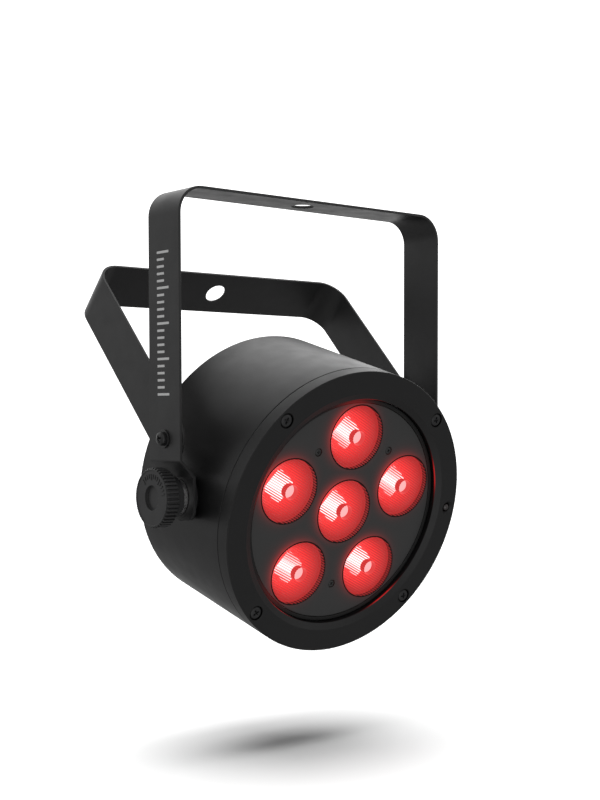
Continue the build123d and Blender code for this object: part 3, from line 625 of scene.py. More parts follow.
def hanging_yoke():
    half = STRAP_THICKNESS / 2
    leg = YOKE_HIGH.x - half
    pad = leg - JOGGLE_STEP
    top = YOKE_HIGH.z - half
    foot = YOKE_LOW.z
    step_low = JOGGLE_TOP - JOGGLE_STEP
    corners = [
        (-pad, foot), (-pad, step_low), (-leg, JOGGLE_TOP), (-leg, top),
        (leg, top), (leg, JOGGLE_TOP), (pad, step_low), (pad, foot),
    ]
    radii = [0, JOGGLE_BEND_R, JOGGLE_BEND_R, YOKE_BEND_R, YOKE_BEND_R, JOGGLE_BEND_R, JOGGLE_BEND_R, 0]
    line = soften(corners, radii, steps=12)
    line = with_ends(line, end_stations(LEG_END_CORNER_R))

    def width_at(end):
        r = LEG_END_CORNER_R
        inset = r - sqrt(r * r - (r - end) ** 2) if end < r else 0.0
        return STRAP_WIDTH / 2 - inset, end

    bm = bent_strap(line, width_at)
    rise = (REAR_PIVOT.z - TILT_AXIS.z) / MM
    cutters = [drill(HANGING_HOLE_R, top - half, top + half, steps=72)]
    cutters += across_holes(PIVOT_HOLE_R, rise, leg - half, leg + half)
    cutters += across_holes(STUD_HOLE_R, 0, pad - half, pad + half)
    bm = carved(bm, *cutters)
    piece("hanging_yoke_strap", bm, HANGING, "hanging_yoke", YOKE_PAINT, ["front_yoke"])


def rear_yoke():
    half = STRAP_THICKNESS / 2
    leg = REAR_YOKE_HIGH.x - half
    top = REAR_YOKE_HIGH.z - half
    round_r = REAR_LEG_END_R
    corners = [(-leg, -round_r), (-leg, top), (leg, top), (leg, -round_r)]
    line = soften(corners, [0, REAR_YOKE_BEND_R, REAR_YOKE_BEND_R, 0], steps=12)
    wide = STRAP_WIDTH / 2
    reach = hypot(wide, REAR_LEG_TAPER_START)
    touch = acos(round_r / reach) - atan2(REAR_LEG_TAPER_START, wide)
    touch_y, touch_z = round_r * cos(touch), -round_r * sin(touch)
    touch_end = round_r + touch_z
    taper_end = round_r + REAR_LEG_TAPER_START
    stations = end_stations(touch_end) + [taper_end]
    line = with_ends(line, stations)

    def width_at(end):
        if end <= touch_end:
            low = round_r - end
            return sqrt(max(round_r**2 - low**2, 0.36)), end
        if end < taper_end:
            share = (end - touch_end) / (taper_end - touch_end)
            return touch_y + (wide - touch_y) * share, end
        return wide, end

    bm = bent_strap(line, width_at)
    cutters = [drill(HANGING_HOLE_R, top - half, top + half, steps=72)]
    cutters += across_holes(PIVOT_HOLE_R, 0, leg - half, leg + half)
    bm = carved(bm, *cutters)
    piece("rear_yoke_strap", bm, REAR, "rear_yoke", YOKE_PAINT, ["rear_yoke"])


def leg_marks():
    """A printed scale of plain marks on the outside of the left leg."""
    marks = []
    surface = YOKE_HIGH.x
    for index in range(MARK_COUNT):
        width = MARK_LONG if index % 5 == 0 else MARK_SHORT
        height = (MARK_TOP - TILT_AXIS.z / MM) - index * MARK_STEP
        outline = rectangle(MARK_THICK, width, 0.25, height, MARK_EDGE - width / 2, steps=3)
        marks.append(prism(outline, surface - 0.02, surface + 0.04))
    turn_to = HANGING.inverted().to_3x3() @ SIDES["left"].to_3x3()
    marks = moved(joined(*marks), turn_to.to_4x4())
    piece("printed_leg_marks", marks, HANGING, "hanging_yoke", PRINT_GREY)


hanging_yoke()
rear_yoke()
leg_marks()


# ---- screws ----
def cross_recess(span, depth, top):
    """Cutter for a cross recess: two tapered crossing blades."""
    wide, thin = span / 2, span * 0.11
    corners = [(-wide, -thin), (wide, -thin), (wide, thin), (-wide, thin)]
    low = [(x * 0.45, y * 0.5, top - depth) for x, y in corners]
    high = [(x * 1.05, y * 1.3, top + 0.3) for x, y in corners]
    return [spun(lofted([low, high]), angle) for angle in (0, 90)]


def pan_head(radius, height, span, turn_by=0.0, shank_r=None, shank=0.0):
    """A domed screw head with a cross recess, underside at Z 0, with its shank below."""
    outline = [
        (0, 0), (radius, 0), (radius, height * 0.5),
        (radius * 0.88, height * 0.82), (radius * 0.5, height), (0, height),
    ]
    outline = soften(outline, [0, 0.15, height * 0.35, height * 0.4, height * 0.4, 0], steps=5)
    if shank_r:
        outline = [(0, -shank), (shank_r - 0.2, -shank), (shank_r, -shank + 0.3), (shank_r, 0)] + outline[1:]
    bm = turned(outline, 48)
    bm = carved(bm, *cross_recess(span, height * 0.62, height))
    return spun(bm, turn_by)


def scatter(make, spots):
    """One solid at each spot: (x, y, z, turn)."""
    return joined(*[shifted(make(turn_by), x, y, z) for x, y, z, turn_by in spots])


# ---- the drum ----
def drum():
    back, seam = HOUSING_LOW.z, HOUSING_HIGH.z
    inner = BODY_R - WALL
    ledge = measure("rear_panel", HEAD)[1].z
    ledge_top = ledge + LEDGE_HEIGHT
    outline = [
        (inner, back), (BODY_R, back), (BODY_R, seam), (inner, seam),
        (inner, ledge_top), (LEDGE_R, ledge_top), (LEDGE_R, ledge), (inner, ledge),
    ]
    outline = soften(outline, [0.3, 0.5, 0.35, 0.2, 0, 0.2, 0, 0])
    bm = turned(outline, 256)
    bosses = []
    for place in SIDES.values():
        boss = [(0, BOSS_START), (BOSS_R, BOSS_START), (BOSS_R, HOUSING_HIGH.x), (0, HOUSING_HIGH.x)]
        boss = soften(boss, [0, 0, 0.4, 0])
        bosses.append(moved(turned(boss, 96), HEAD.inverted() @ place))
    bm = combined(bm, joined(*bosses), "UNION")
    pockets = []
    for place in SIDES.values():
        pocket = sink(STUD_POCKET_R, STUD_POCKET_START, HOUSING_HIGH.x, mouth=0.2)
        pockets.append(moved(pocket, HEAD.inverted() @ place))
    bm = carved(bm, *pockets)
    piece("drum_shell", bm, HEAD, "lamp_head", DRUM_PAINT, ["housing"])


def bezel():
    back, face = BEZEL_LOW.z, FACE_Z
    inner = BODY_R - WALL
    pocket = face - BEZEL_FACE_THICKNESS
    chamfer = face - BEZEL_CHAMFER_DEPTH
    outline = [
        (BEZEL_BORE_R, BEZEL_HUB_BACK), (BEZEL_BORE_R, chamfer - 0.8), (BEZEL_BORE_R, chamfer),
        (BEZEL_FLAT_R, face), (BODY_R, face), (BODY_R, back), (inner, back), (inner, pocket),
        (BEZEL_HUB_R, pocket), (BEZEL_HUB_R, BEZEL_HUB_BACK),
    ]
    outline = soften(outline, [0.3, 0, 0.3, 0.3, 0.35, 0.35, 0.3, 0.3, 0.3, 0.3], steps=5)
    bm = turned(outline, 256)
    low, high = back + 0.3, pocket + 1
    boss = [(0, low), (BEZEL_BOSS_R, low), (BEZEL_BOSS_R, high), (0, high)]
    bosses = [shifted(turned(boss, 40), *polar(BEZEL_SCREW_R - 1.0, angle)) for angle in BEZEL_SCREW_ANGLES]
    bm = combined(bm, joined(*bosses), "UNION")
    cutters = []
    for angle in BEZEL_SCREW_ANGLES:
        x, y = polar(BEZEL_SCREW_R, angle)
        cutters.append(sink(COUNTERBORE_R, face - COUNTERBORE_DEPTH, face, x, y, mouth=0.3))
    window = [
        (0, 36), (WINDOW_HOLE_R, 36), (WINDOW_HOLE_R, face - 1.4),
        (WINDOW_MOUTH_R, face + 0.3), (WINDOW_MOUTH_R, face + 1), (0, face + 1),
    ]
    cutters.append(shifted(turned(window, 48), BEZEL_SCREW_R, 0))
    bm = carved(bm, *cutters)
    # A band of the bore just below the chamfer takes the inner-edge material, with its painted red reflection of
    # the lenses.
    edge_top = chamfer + 0.15
    for part in bm.faces:
        middle = part.calc_center_median()
        low_enough = edge_top - 1.0 < middle.z < edge_top
        part.material_index = 1 if low_enough and hypot(middle.x, middle.y) < BEZEL_BORE_R + 0.4 else 0
    piece("bezel_ring", bm, HEAD, "lamp_head", [BEZEL_PAINT, WALL_PAINT_AND_REFLECTION], ["bezel"])

    turns = (12, -20, 35, 8)
    spots = []
    for angle, turn_by in zip(BEZEL_SCREW_ANGLES, turns):
        spots.append((*polar(BEZEL_SCREW_R, angle), face - COUNTERBORE_DEPTH, turn_by))
    bm = scatter(lambda t: pan_head(3.7, 1.75, 4.4, t, shank_r=2.0, shank=8.0), spots)
    piece("bezel_screw_heads", bm, HEAD, "lamp_head", SCREW_BLACK, ["bezel_screws"])


def gasket():
    low, high = measure("bezel_gasket", HEAD)
    bm = hoop(GASKET_INNER_R, high.x, low.z, high.z, 0.12, 3, 256)
    piece("gasket_ring", bm, HEAD, "lamp_head", GASKET_RUBBER, ["bezel_gasket"])


def infrared_dome():
    low, high = measure("infrared_window", HEAD)
    top = high.z
    outline = [(0, top), (1.1, top - 0.25), (2.0, top - 0.95), (2.55, top - 2.2), (2.6, low.z), (0, low.z)]
    outline = soften(outline, [0, 1.2, 1.2, 0.8, 0.1, 0])
    bm = shifted(turned(outline, 48), BEZEL_SCREW_R, 0)
    piece("infrared_dome", bm, HEAD, "lamp_head", INFRARED_TINT, ["infrared_window"])


drum()
bezel()
gasket()
infrared_dome()


# ---- front panel ----
def front_panel():
    front, back = PANEL_FRONT_Z, PANEL_LOW.z
    outline = [(0, back), (PANEL_R, back), (PANEL_R, front), (0, front)]
    bm = turned(soften(outline, [0, 0.1, 0.5, 0]), 256)
    hole = LENS_R + LENS_SEAL_WIDTH
    cutters = [drill(hole, back, front, x, y, mouth=0.15, steps=128) for x, y in lens_places()]
    for angle in PANEL_SCREW_ANGLES:
        x, y = polar(LENS_CIRCLE_R, angle)
        cutters.append(sink(PANEL_SINK_R, front - PANEL_SINK_DEPTH, front, x, y, mouth=0.15))
    bm = carved(bm, *cutters)
    piece("front_panel", bm, HEAD, "lamp_head", PANEL_BLACK, ["lens_panel"])

    rings = []
    for x, y in lens_places():
        ring = hoop(LENS_R - 0.4, LENS_R + 0.37, front - 0.9, front, [0.1, 0.1, 0.2, 0.25], 3, 128)
        rings.append(shifted(ring, x, y))
    piece("lens_seal_rings", joined(*rings), HEAD, "lamp_head", LENS_SEAL)

    low, high = measure("panel_seal", HEAD)
    bm = hoop(PANEL_R + 0.15, high.x, low.z, high.z, [0.1, 0.1, 0.8, 0.4], 5, 256)
    piece("panel_seal_ring", bm, HEAD, "lamp_head", SEAL_RUBBER, ["panel_seal"])

    spots = []
    for angle, turn_by in zip(PANEL_SCREW_ANGLES, (20, -10, 40)):
        spots.append((*polar(LENS_CIRCLE_R, angle), front - PANEL_SINK_DEPTH, turn_by))
    bm = scatter(lambda t: pan_head(2.1, 1.1, 2.6, t, shank_r=1.2, shank=5.0), spots)
    piece("panel_screw_heads", bm, HEAD, "lamp_head", PANEL_SCREW, ["panel_screws"])


front_panel()


# ---- lenses ----
RULING_PITCH = 1.3            # ridges on a lens face
RULING_ANGLE = -27.0          # their direction, from the head's +X
IMAGE_Z = 28.6                # where the LED's enlarged image stands
IMAGE_SIZE = 15.0
IMAGE_ANGLE = -38.0
WELL_R = 4.2
WELL_Z = 36.9
DOME_HEIGHT = 1.9
CONE_Z = 24.8                 # floor of a lens cone
CONE_TOP = 38.6
CONE_FLOOR_R = 5.6
CONE_RIM_R = 16.4
RIDGE_HEIGHT = 0.16


def ridges(tree):
    """Position across the ruling in millimetres, and 0 in a groove rising to 1 on a ridge."""
    where = node(tree, "TexCoord").outputs["Object"]
    mapping = node(tree, "Mapping", Rotation=(0, 0, -radians(RULING_ANGLE)), Scale=(1 / MM,) * 3)
    tree.links.new(where, mapping.inputs["Vector"])
    split = node(tree, "SeparateXYZ")
    tree.links.new(mapping.outputs["Vector"], split.inputs["Vector"])
    across = split.outputs["Y"]
    wave = maths(tree, "SINE", maths(tree, "MULTIPLY", across, 2 * pi / RULING_PITCH))
    return across, maths(tree, "ADD", maths(tree, "MULTIPLY", wave, 0.5), 0.5)


def lens_front_material():
    """Ruled clear front: mostly see-through, with a faint red glow of its own in its ridges."""
    material, tree, shader = tree_of("lens_front")
    put(shader, Base_Color=(0.10, 0.005, 0.005, 1), Roughness=0.15, Emission_Strength=1.0)
    _, ridge = ridges(tree)
    glow = blend_colours(tree, ridge, (0.10, 0.03, 0.03), (0.52, 0.035, 0.035))
    tree.links.new(glow, shader.inputs["Emission Color"])
    clear = node(tree, "BsdfTransparent", Color=(1.0, 0.93, 0.93, 1))
    mix = node(tree, "MixShader")
    tree.links.new(spread(tree, ridge, 0.05, 0.62, 0.0, 1.0), mix.inputs["Fac"])
    tree.links.new(clear.outputs["BSDF"], mix.inputs[1])
    tree.links.new(shader.outputs["BSDF"], mix.inputs[2])
    output = tree.nodes["Material Output"]
    tree.links.new(mix.outputs["Shader"], output.inputs["Surface"])
    return material


def lens_cone_material():
    """Inside of a lit lens: bright red deep down and much darker towards the rim."""
    material, tree, shader = tree_of("lens_cone")
    where = node(tree, "TexCoord").outputs["Object"]
    split = node(tree, "SeparateXYZ")
    tree.links.new(where, split.inputs["Vector"])
    depth = spread(tree, split.outputs["Z"], 0.0, 1.0, CONE_Z * MM, CONE_TOP * MM)
    glow = blend_colours(tree, depth, (1.75, 0.065, 0.065), (0.04, 0.012, 0.012))
    tree.links.new(glow, shader.inputs["Emission Color"])
    put(shader, Base_Color=(0.05, 0.0, 0.0, 1), Roughness=0.4, Emission_Strength=1.0)
    return material


def led_image_material():
    """The LED's image: hot in the middle, breaking into stripes towards two of its edges."""
    material, tree, shader = tree_of("led_image")
    across, ridge = ridges(tree)
    edge = spread(tree, maths(tree, "ABSOLUTE", across), -0.1, 1.05, 0.8, 8.6)
    hot = maths(tree, "GREATER_THAN", maths(tree, "ADD", ridge, 0.08), edge)
    glow = blend_colours(tree, hot, (1.3, 0.09, 0.09), (2.3, 1.5, 1.5))
    tree.links.new(glow, shader.inputs["Emission Color"])
    put(shader, Base_Color=(0.05, 0.0, 0.0, 1), Emission_Strength=1.0)
    return material


LENS_FRONT = lens_front_material()
LENS_CONE = lens_cone_material()
LED_IMAGE = led_image_material()
LENS_RIM = emitting("lens_rim", (0.12, 0.006, 0.006), 0.5)
WELL_WALL = emitting("lens_well_wall", (1.0, 0.05, 0.05), 0.7)
WELL_DOME = emitting("lens_well_dome", (1.0, 0.42, 0.42), 1.15)
# In the order of the material numbers that the lens's faces carry.
LENS_LOOKS = [LENS_FRONT, LENS_CONE, LED_IMAGE, LENS_RIM, WELL_WALL, WELL_DOME]
FRONT_LOOK, CONE_LOOK, IMAGE_LOOK, RIM_LOOK, WALL_LOOK, DOME_LOOK = range(len(LENS_LOOKS))
LENS_TOP = PANEL_FRONT_Z + LENS_CROWN
CROWN_R = (LENS_R**2 + LENS_CROWN**2) / (2 * LENS_CROWN)
RIM_LOW = PANEL_LOW.z - 0.6


def crown(radius):
    return LENS_TOP - (CROWN_R - sqrt(CROWN_R**2 - radius**2))


def ruled_front():
    """The lens front with real ridges, its side wall and the wall of its central well."""
    along = Vector((cos(radians(RULING_ANGLE)), sin(radians(RULING_ANGLE)), 0))
    across = Vector((-along.y, along.x, 0))
    step = RULING_PITCH / 4
    count = int((LENS_R - 0.05) / step)
    offsets = [-LENS_R * 0.999] + [i * step for i in range(-count, count + 1)] + [LENS_R * 0.999]
    pieces_along = 14
    bm = bmesh.new()
    tops, lows = [], []
    for offset in offsets:
        half = sqrt(LENS_R**2 - offset**2)
        top_row, low_row = [], []
        for i in range(pieces_along + 1):
            run = -half + 2 * half * i / pieces_along
            spot = along * run + across * offset
            radius = min(hypot(run, offset), LENS_R)
            lift = RIDGE_HEIGHT * sin(2 * pi * offset / RULING_PITCH)
            top_row.append(bm.verts.new((spot.x, spot.y, crown(radius) - 0.2 + lift)))
            low_row.append(bm.verts.new((spot.x, spot.y, RIM_LOW)))
        tops.append(top_row)
        lows.append(low_row)
    for rows in (tops, lows):
        for near, far in zip(rows, rows[1:]):
            for i in range(pieces_along):
                bm.faces.new((near[i], near[i + 1], far[i + 1], far[i]))
    for row in (0, -1):
        for i in range(pieces_along):
            bm.faces.new((tops[row][i], tops[row][i + 1], lows[row][i + 1], lows[row][i]))
    for end in (0, -1):
        for j in range(len(offsets) - 1):
            bm.faces.new((tops[j][end], tops[j + 1][end], lows[j + 1][end], lows[j][end]))
    bmesh.ops.recalc_face_normals(bm, faces=bm.faces)
    well = [(0, WELL_Z), (WELL_R, WELL_Z), (WELL_R, LENS_TOP + 1), (0, LENS_TOP + 1)]
    bm = carved(bm, turned(well, 64))
    unseen = []
    for face in bm.faces:
        middle = face.calc_center_median()
        radius = hypot(middle.x, middle.y)
        level = abs(face.normal.z) > 0.9
        face.material_index = FRONT_LOOK
        if level and (middle.z < RIM_LOW + 0.01 or abs(middle.z - WELL_Z) < 0.01):
            unseen.append(face)
        elif abs(face.normal.z) < 0.3:
            face.material_index = WALL_LOOK if radius < WELL_R + 0.1 else RIM_LOOK
    bmesh.ops.delete(bm, geom=unseen, context="FACES")
    return bm


def lit_inside():
    """The cone behind a lens front, the LED's image in it, and the dome in the well."""
    cone = [(LENS_R - 0.05, RIM_LOW), (CONE_RIM_R, RIM_LOW - 0.02), (CONE_FLOOR_R, CONE_Z), (0, CONE_Z)]
    cone = turned(cone, 96)
    bmesh.ops.reverse_faces(cone, faces=cone.faces)
    size = IMAGE_SIZE / 2
    slope = (CONE_RIM_R - CONE_FLOOR_R) / (RIM_LOW - CONE_Z)
    limit = CONE_FLOOR_R + (IMAGE_Z - CONE_Z) * slope - 0.1
    image = bmesh.new()
    spots = []
    for i in range(48):
        angle = 2 * pi * i / 48
        reach = min(size / max(abs(cos(angle)), abs(sin(angle))), limit)
        spots.append(image.verts.new((reach * cos(angle), reach * sin(angle), IMAGE_Z)))
    image.faces.new(spots)
    spun(image, IMAGE_ANGLE)
    dome = [(WELL_R, WELL_Z - 0.3)]
    for angle in range(0, 90, 9):
        dome.append((WELL_R * 0.93 * cos(radians(angle)), WELL_Z + DOME_HEIGHT * sin(radians(angle))))
    dome = turned(dome + [(0, WELL_Z + DOME_HEIGHT)], 64)
    for index, part in ((CONE_LOOK, cone), (IMAGE_LOOK, image), (DOME_LOOK, dome)):
        for face in part.faces:
            face.material_index = index
    return joined(cone, image, dome)


FRONT_SHAPE = ruled_front()
INSIDE_SHAPE = lit_inside()
for number, (x, y) in enumerate(lens_places()):
    place = HEAD @ Matrix.Translation((x * MM, y * MM, 0))
    shape = joined(FRONT_SHAPE.copy(), INSIDE_SHAPE.copy())
    nodes = [f"lens_{number}"]
    piece(f"lens_optic_{number}", shape, place, "lamp_head", LENS_LOOKS, nodes, sharp=20)


# ---- knobs ----
def knob(side):
    place = SIDES[side]
    low, high = measure(f"knob_{side}", place)
    neck, face, radius = low.z, high.z, high.x
    grip = KNOB_GRIP_START
    root = radius - KNOB_RIB_DEPTH
    rim = radius - 0.75
    floor_z = face - KNOB_FACE_SINK
    outline = [
        (0, neck), (11.6, neck), (11.6, grip - 0.8), (12.4, grip), (root - 0.6, grip), (root, grip + 0.6),
        (root, face - 0.75), (rim, face - 0.45), (rim, face), (rim - 0.7, face), (rim - 0.9, floor_z),
        (KNOB_HUB_R, floor_z), (KNOB_HUB_R, face - 2.0), (0, face - 2.0),
    ]
    corners = [0, 0.3, 0.3, 0.3, 0.3, 0.3, 0.05, 0.1, 0.15, 0.15, 0.1, 0.3, 0.2, 0]
    bm = turned(soften(outline, corners), KNOB_RIBS * 6)
    added = []
    rib = [(root - 0.6, -0.8), (radius - 0.02, -0.5), (radius - 0.02, 0.5), (root - 0.6, 0.8)]
    rib = soften(rib, [0, 0.25, 0.25, 0])
    low_end, high_end = grip + 0.35, face - 0.4
    for index in range(KNOB_RIBS):
        levels = [(low_end, 0.75), (low_end + 0.7, 0), (high_end - 0.8, 0), (high_end, 0.9)]
        one = lofted([[(x - inset * (x > root), y, z) for x, y in rib] for z, inset in levels])
        added.append(spun(one, 360 * index / KNOB_RIBS))
    for index in range(KNOB_TICKS):
        angle = KNOB_FIRST_TICK - index * KNOB_TICK_STEP
        length = 3.4 if index % 4 == 0 else 2.4
        tick = rectangle(length, 0.8, 0.2, 12.9 - length / 2, 0, steps=3)
        tick = prism(tick, floor_z - 0.4, face - 0.02)
        added.append(spun(tick, angle))
    bm = combined(bm, joined(*added), "UNION")
    piece(f"knob_grip_{side}", bm, place, f"knob_{side}", KNOB_PLASTIC, [f"knob_{side}"])

    low, high = measure(f"knob_washer_{side}", place)
    bm = hoop(WASHER_HOLE_R, high.x, low.z, high.z, [0.2, 0.5, 0.5, 0.2], 4, 96)
    washer = f"knob_washer_{side}"
    piece(f"bright_washer_{side}", bm, place, washer, ZINC_BRIGHT, [washer])


for side in SIDES:
    knob(side)


# ---- rear yoke pivots ----
def pivots():
    leg = YOKE_HIGH.x
    heads, washers, nuts = [], [], []
    for sign, turn_by in ((-1, 18), (1, -30)):
        place = axes_at(REAR_PIVOT - TILT_AXIS, UP, sign * ACROSS)
        place.translation /= MM
        head = pan_head(3.8, 2.9, 4.6, turn_by, shank_r=2.0, shank=11.0)
        heads.append(moved(shifted(head, 0, 0, leg + PIVOT_WASHER), place))
        for inner, outer in ((leg, leg + PIVOT_WASHER), (REAR_YOKE_HIGH.x + 0.05, leg - STRAP_THICKNESS)):
            ring = hoop(PIVOT_HOLE_R, PIVOT_WASHER_R, inner, outer, 0.2, 3, 48)
            washers.append(moved(ring, place))
        top = REAR_YOKE_HIGH.x - STRAP_THICKNESS - 0.05
        nut = prism([polar(4.04, 60 * i) for i in range(6)], top - NUT_HEIGHT, top, edge=0.12)
        collar = [(2.05, top - 5.0), (3.3, top - 5.0), (3.45, top - 3.5), (2.05, top - 3.5)]
        collar = turned(soften(collar, [0.1, 0.5, 0, 0]), 48)
        nut = carved(nut, drill(2.05, top - NUT_HEIGHT, top, mouth=0.2, steps=32))
        nuts.append(moved(joined(nut, collar), place))
    for name, solids, material, slot, replaced in (
        ("pivot_screw_heads", heads, SCREW_BLACK, "black_screws", "pivot_screws"),
        ("pivot_washer_rings", washers, SCREW_BLACK, "black_screws", "pivot_washers"),
        ("pivot_lock_nuts", nuts, ZINC_BRIGHT, "bright_steel", "pivot_nuts"),
    ):
        piece(name, joined(*solids), HANGING, "hanging_yoke", material, [replaced])


pivots()


# ---- the rear of the lamp ----
REAR_PIECES = [
    ("rear_panel", "rear_cover", "lamp_head", REAR_PAINT, "rear_panel_paint", 0.2),
    ("power_inlet", "power_inlet_shell", "lamp_head", SOCKET_BLUE, "socket_blue", 0.25),
    ("power_outlet", "power_outlet_shell", "lamp_head", SOCKET_GREY, "socket_grey", 0.25),
    ("data_input", "data_input_shell", "lamp_head", BLACK_PLASTIC, "socket_black", 0.25),
    ("data_output", "data_output_shell", "lamp_head", BLACK_PLASTIC, "socket_black", 0.25),
    ("data_latch", "latch_tab", "data_latch", ZINC_BRIGHT, "bright_steel", 0.2),
    ("eyelet", "safety_eyelet", "lamp_head", YOKE_PAINT, "yoke_paint", 0.3),
    ("fuse_cap", "fuse_cap_grip", "fuse_cap", BLACK_PLASTIC, "black_plastic", 0.2),
    ("fuse_holder", "fuse_holder_flange", "lamp_head", BLACK_PLASTIC, "black_plastic", 0.2),
    ("display_window", "display_pane", "lamp_head", DISPLAY_TINT, "display_tint", 0.15),
]
for key in ("menu", "up", "down", "enter"):
    REAR_PIECES.append((f"button_{key}", f"key_{key}", f"button_{key}", BUTTON_GREY, "button_grey", 0.2))
for row in REAR_PIECES:
    refined(*row)


FIGURE_STEP = 8.2


def display_digits():
    """Lit seven-segment figures, 0 0 1, on the display pane."""
    low, high = measure("display_window", HEAD)
    tall, wide, bar = 8.0, 4.6, 0.9
    across, along = wide - bar, tall / 2 - bar
    middle_x, middle_y = (low.x + high.x) / 2, (low.y + high.y) / 2
    segments = {
        "top": (0, tall / 2, across, bar),
        "middle": (0, 0, across, bar),
        "bottom": (0, -tall / 2, across, bar),
        "upper_left": (-wide / 2, tall / 4, bar, along),
        "upper_right": (wide / 2, tall / 4, bar, along),
        "lower_left": (-wide / 2, -tall / 4, bar, along),
        "lower_right": (wide / 2, -tall / 4, bar, along),
    }
    zero = [name for name in segments if name != "middle"]
    one = ["upper_right", "lower_right"]
    lit, dark = [], []
    for place, shown in enumerate(([], zero, zero, one)):
        # Seen from behind, the figures run towards -X.
        centre = middle_x + (1.5 - place) * FIGURE_STEP
        for name, (x, y, width, height) in segments.items():
            outline = rectangle(width, height, 0.3, centre - x, middle_y + y, steps=3)
            solid = prism(outline, low.z - 0.06, low.z + 0.02)
            (lit if name in shown else dark).append(solid)
    piece("display_figures", joined(*lit), HEAD, "lamp_head", FIGURE_LIT)
    piece("display_unlit_bars", joined(*dark), HEAD, "lamp_head", FIGURE_DARK)


def key_signs():
    """Plain printed signs on the four keys: three bars, two arrows and a square."""
    signs = {
        "menu": [rectangle(3.6, 0.6, 0.15, 0, y, steps=2) for y in (-1.1, 0, 1.1)],
        "up": [[(-1.9, -1.2), (1.9, -1.2), (0, 1.7)]],
        "down": [[(1.9, 1.2), (-1.9, 1.2), (0, -1.7)]],
        "enter": [rectangle(2.8, 2.8, 0.5, steps=3)],
    }
    for key, outlines in signs.items():
        low, high = measure(f"button_{key}", HEAD)
        x, y = (low.x + high.x) / 2, (low.y + high.y) / 2
        solids = [shifted(prism(outline, low.z - 0.04, low.z + 0.03), x, y) for outline in outlines]
        piece(f"key_sign_{key}", joined(*solids), HEAD, f"button_{key}", PRINT_GREY)


display_digits()
key_signs()


# ---- CAD nodes that stay ----
KEPT = {
    "panel_carrier": ALUMINIUM, "brass_posts": BRASS, "led_board": BOARD_WHITE, "heat_sink": ALUMINIUM,
    "heat_sink_screws": ZINC_STUD, "infrared_board": BOARD_GREEN, "rear_panel_screws": SCREW_BLACK,
    "socket_contacts": BRASS, "flange_screws": ZINC_STUD, "fuse": DARK_PART, "display_module": DARK_PART,
    "control_board": BOARD_GREEN, "button_switches": DARK_PART, "power_board": BOARD_GREEN,
    "power_transformer": DARK_PART, "power_capacitors": DARK_PART, "led_lead": LEAD_RED,
    "lens_cups": BLACK_PLASTIC, "emitters": DARK_PART, "tilt_inserts": BRASS, "friction_pads": GASKET_RUBBER,
    "knob_stud_left": ZINC_STUD, "knob_stud_right": ZINC_STUD,
}
for name, material in KEPT.items():
    slots = frame["nodes"][name].data.materials
    slots.clear()
    slots.append(material)


# ---- studio ----
FLOOR_Z = TILT_AXIS.z - 0.150  # in metres, as everything from here on
FLOOR_HALF = 6.0
FLOOR_GREY = 0.3
FLOOR_SUN = 13.5
FLOOR_SUN_ANGLE = 62.0
# Soft areas of the studio: direction, cosines where it starts and is full, and brightness.
STUDIO_GLOWS = [
    ((0.60, 0.62, 0.50), 0.50, 0.97, 1.45),
    ((-0.65, 0.76, 0.30), 0.70, 0.99, 0.25),
    ((-0.45, 0.60, 0.66), 0.85, 0.99, 0.20),
    ((0.65, -0.72, 0.28), 0.87, 0.98, 0.32),
    ((-0.50, -0.55, 0.65), 0.75, 0.97, 0.35),
    ((-0.25, -0.85, -0.38), 0.76, 0.96, 0.45),
]
STUDIO_DIM = 0.28


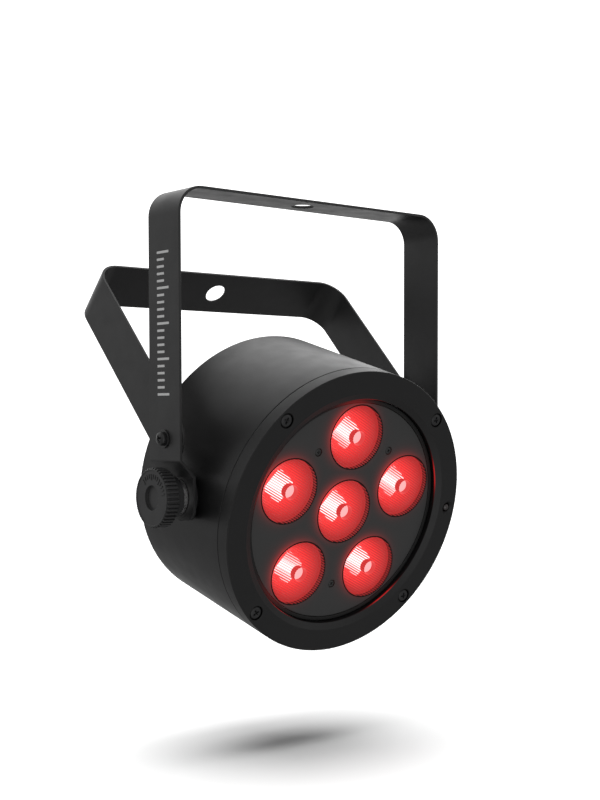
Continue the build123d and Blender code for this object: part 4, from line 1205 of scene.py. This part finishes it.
def floor():
    bm = bmesh.new()
    corners = rectangle(2 * FLOOR_HALF, 2 * FLOOR_HALF)
    bm.faces.new([bm.verts.new((x, y, FLOOR_Z)) for x, y in corners])
    mesh = mesh_of(bm, "floor")
    made = bpy.data.objects.new("floor", mesh)
    own = bpy.data.collections.new("floor")
    bpy.context.scene.collection.children.link(own)
    own.objects.link(made)
    material, tree, shader = tree_of("floor_paint")
    darker, lighter = (FLOOR_GREY * 0.98,) * 3, (FLOOR_GREY * 1.02,) * 3
    tree.links.new(blend_colours(tree, noise(tree, 3), darker, lighter), shader.inputs["Base Color"])
    put(shader, Roughness=0.95, Specular_IOR_Level=0.0)
    mesh.materials.append(material)
    made.visible_diffuse = False
    made.visible_glossy = False
    made.visible_transmission = False

    # The floor has its own soft overhead light, so that it stays pale round a dark lamp.
    data = bpy.data.lights.new("floor_light", "SUN")
    data.energy = FLOOR_SUN
    data.angle = radians(FLOOR_SUN_ANGLE)
    light = linked("floor_light", data)
    light.light_linking.receiver_collection = own


def studio():
    world = bpy.data.worlds.new("studio")
    bpy.context.scene.world = world
    world.use_nodes = True
    tree = world.node_tree
    background = tree.nodes["Background"]
    put(background, Color=(1, 1, 1, 1))
    towards = node(tree, "TexCoord").outputs["Generated"]
    total = None
    for direction, start, full, brightness in STUDIO_GLOWS:
        made = node(tree, "VectorMath")
        made.operation = "DOT_PRODUCT"
        made.inputs[1].default_value = Vector(direction).normalized()
        tree.links.new(towards, made.inputs[0])
        glow = node(tree, "MapRange", From_Min=start, From_Max=full, To_Min=0.0, To_Max=brightness)
        glow.interpolation_type = "SMOOTHSTEP"
        tree.links.new(made.outputs["Value"], glow.inputs["Value"])
        total = maths(tree, "ADD", glow.outputs["Result"], STUDIO_DIM if total is None else total)
    seen = node(tree, "LightPath").outputs["Is Camera Ray"]
    tree.links.new(maths(tree, "MAXIMUM", total, seen), background.inputs["Strength"])


floor()
studio()


CAMERA_PLACE = (-0.4851, -0.6187, -0.1203)
CAMERA_AZIMUTH = 40.762       # to the right of +Y
CAMERA_PITCH = 2.628          # downwards
CAMERA_LENS = 60.59
CAMERA_SHIFT = (-0.0821, 0.0942)


def camera():
    azimuth, pitch = radians(CAMERA_AZIMUTH), radians(CAMERA_PITCH)
    forward = Vector((sin(azimuth) * cos(pitch), cos(azimuth) * cos(pitch), -sin(pitch)))
    data = bpy.data.cameras.new("camera")
    data.lens = CAMERA_LENS
    data.shift_x, data.shift_y = CAMERA_SHIFT
    data.clip_start = 0.01
    made = linked("camera", data)
    made.location = CAMERA_PLACE
    made.rotation_euler = forward.to_track_quat("-Z", "Y").to_euler()
    bpy.context.scene.camera = made


camera()
bpy.context.scene.view_settings.view_transform = "Standard"
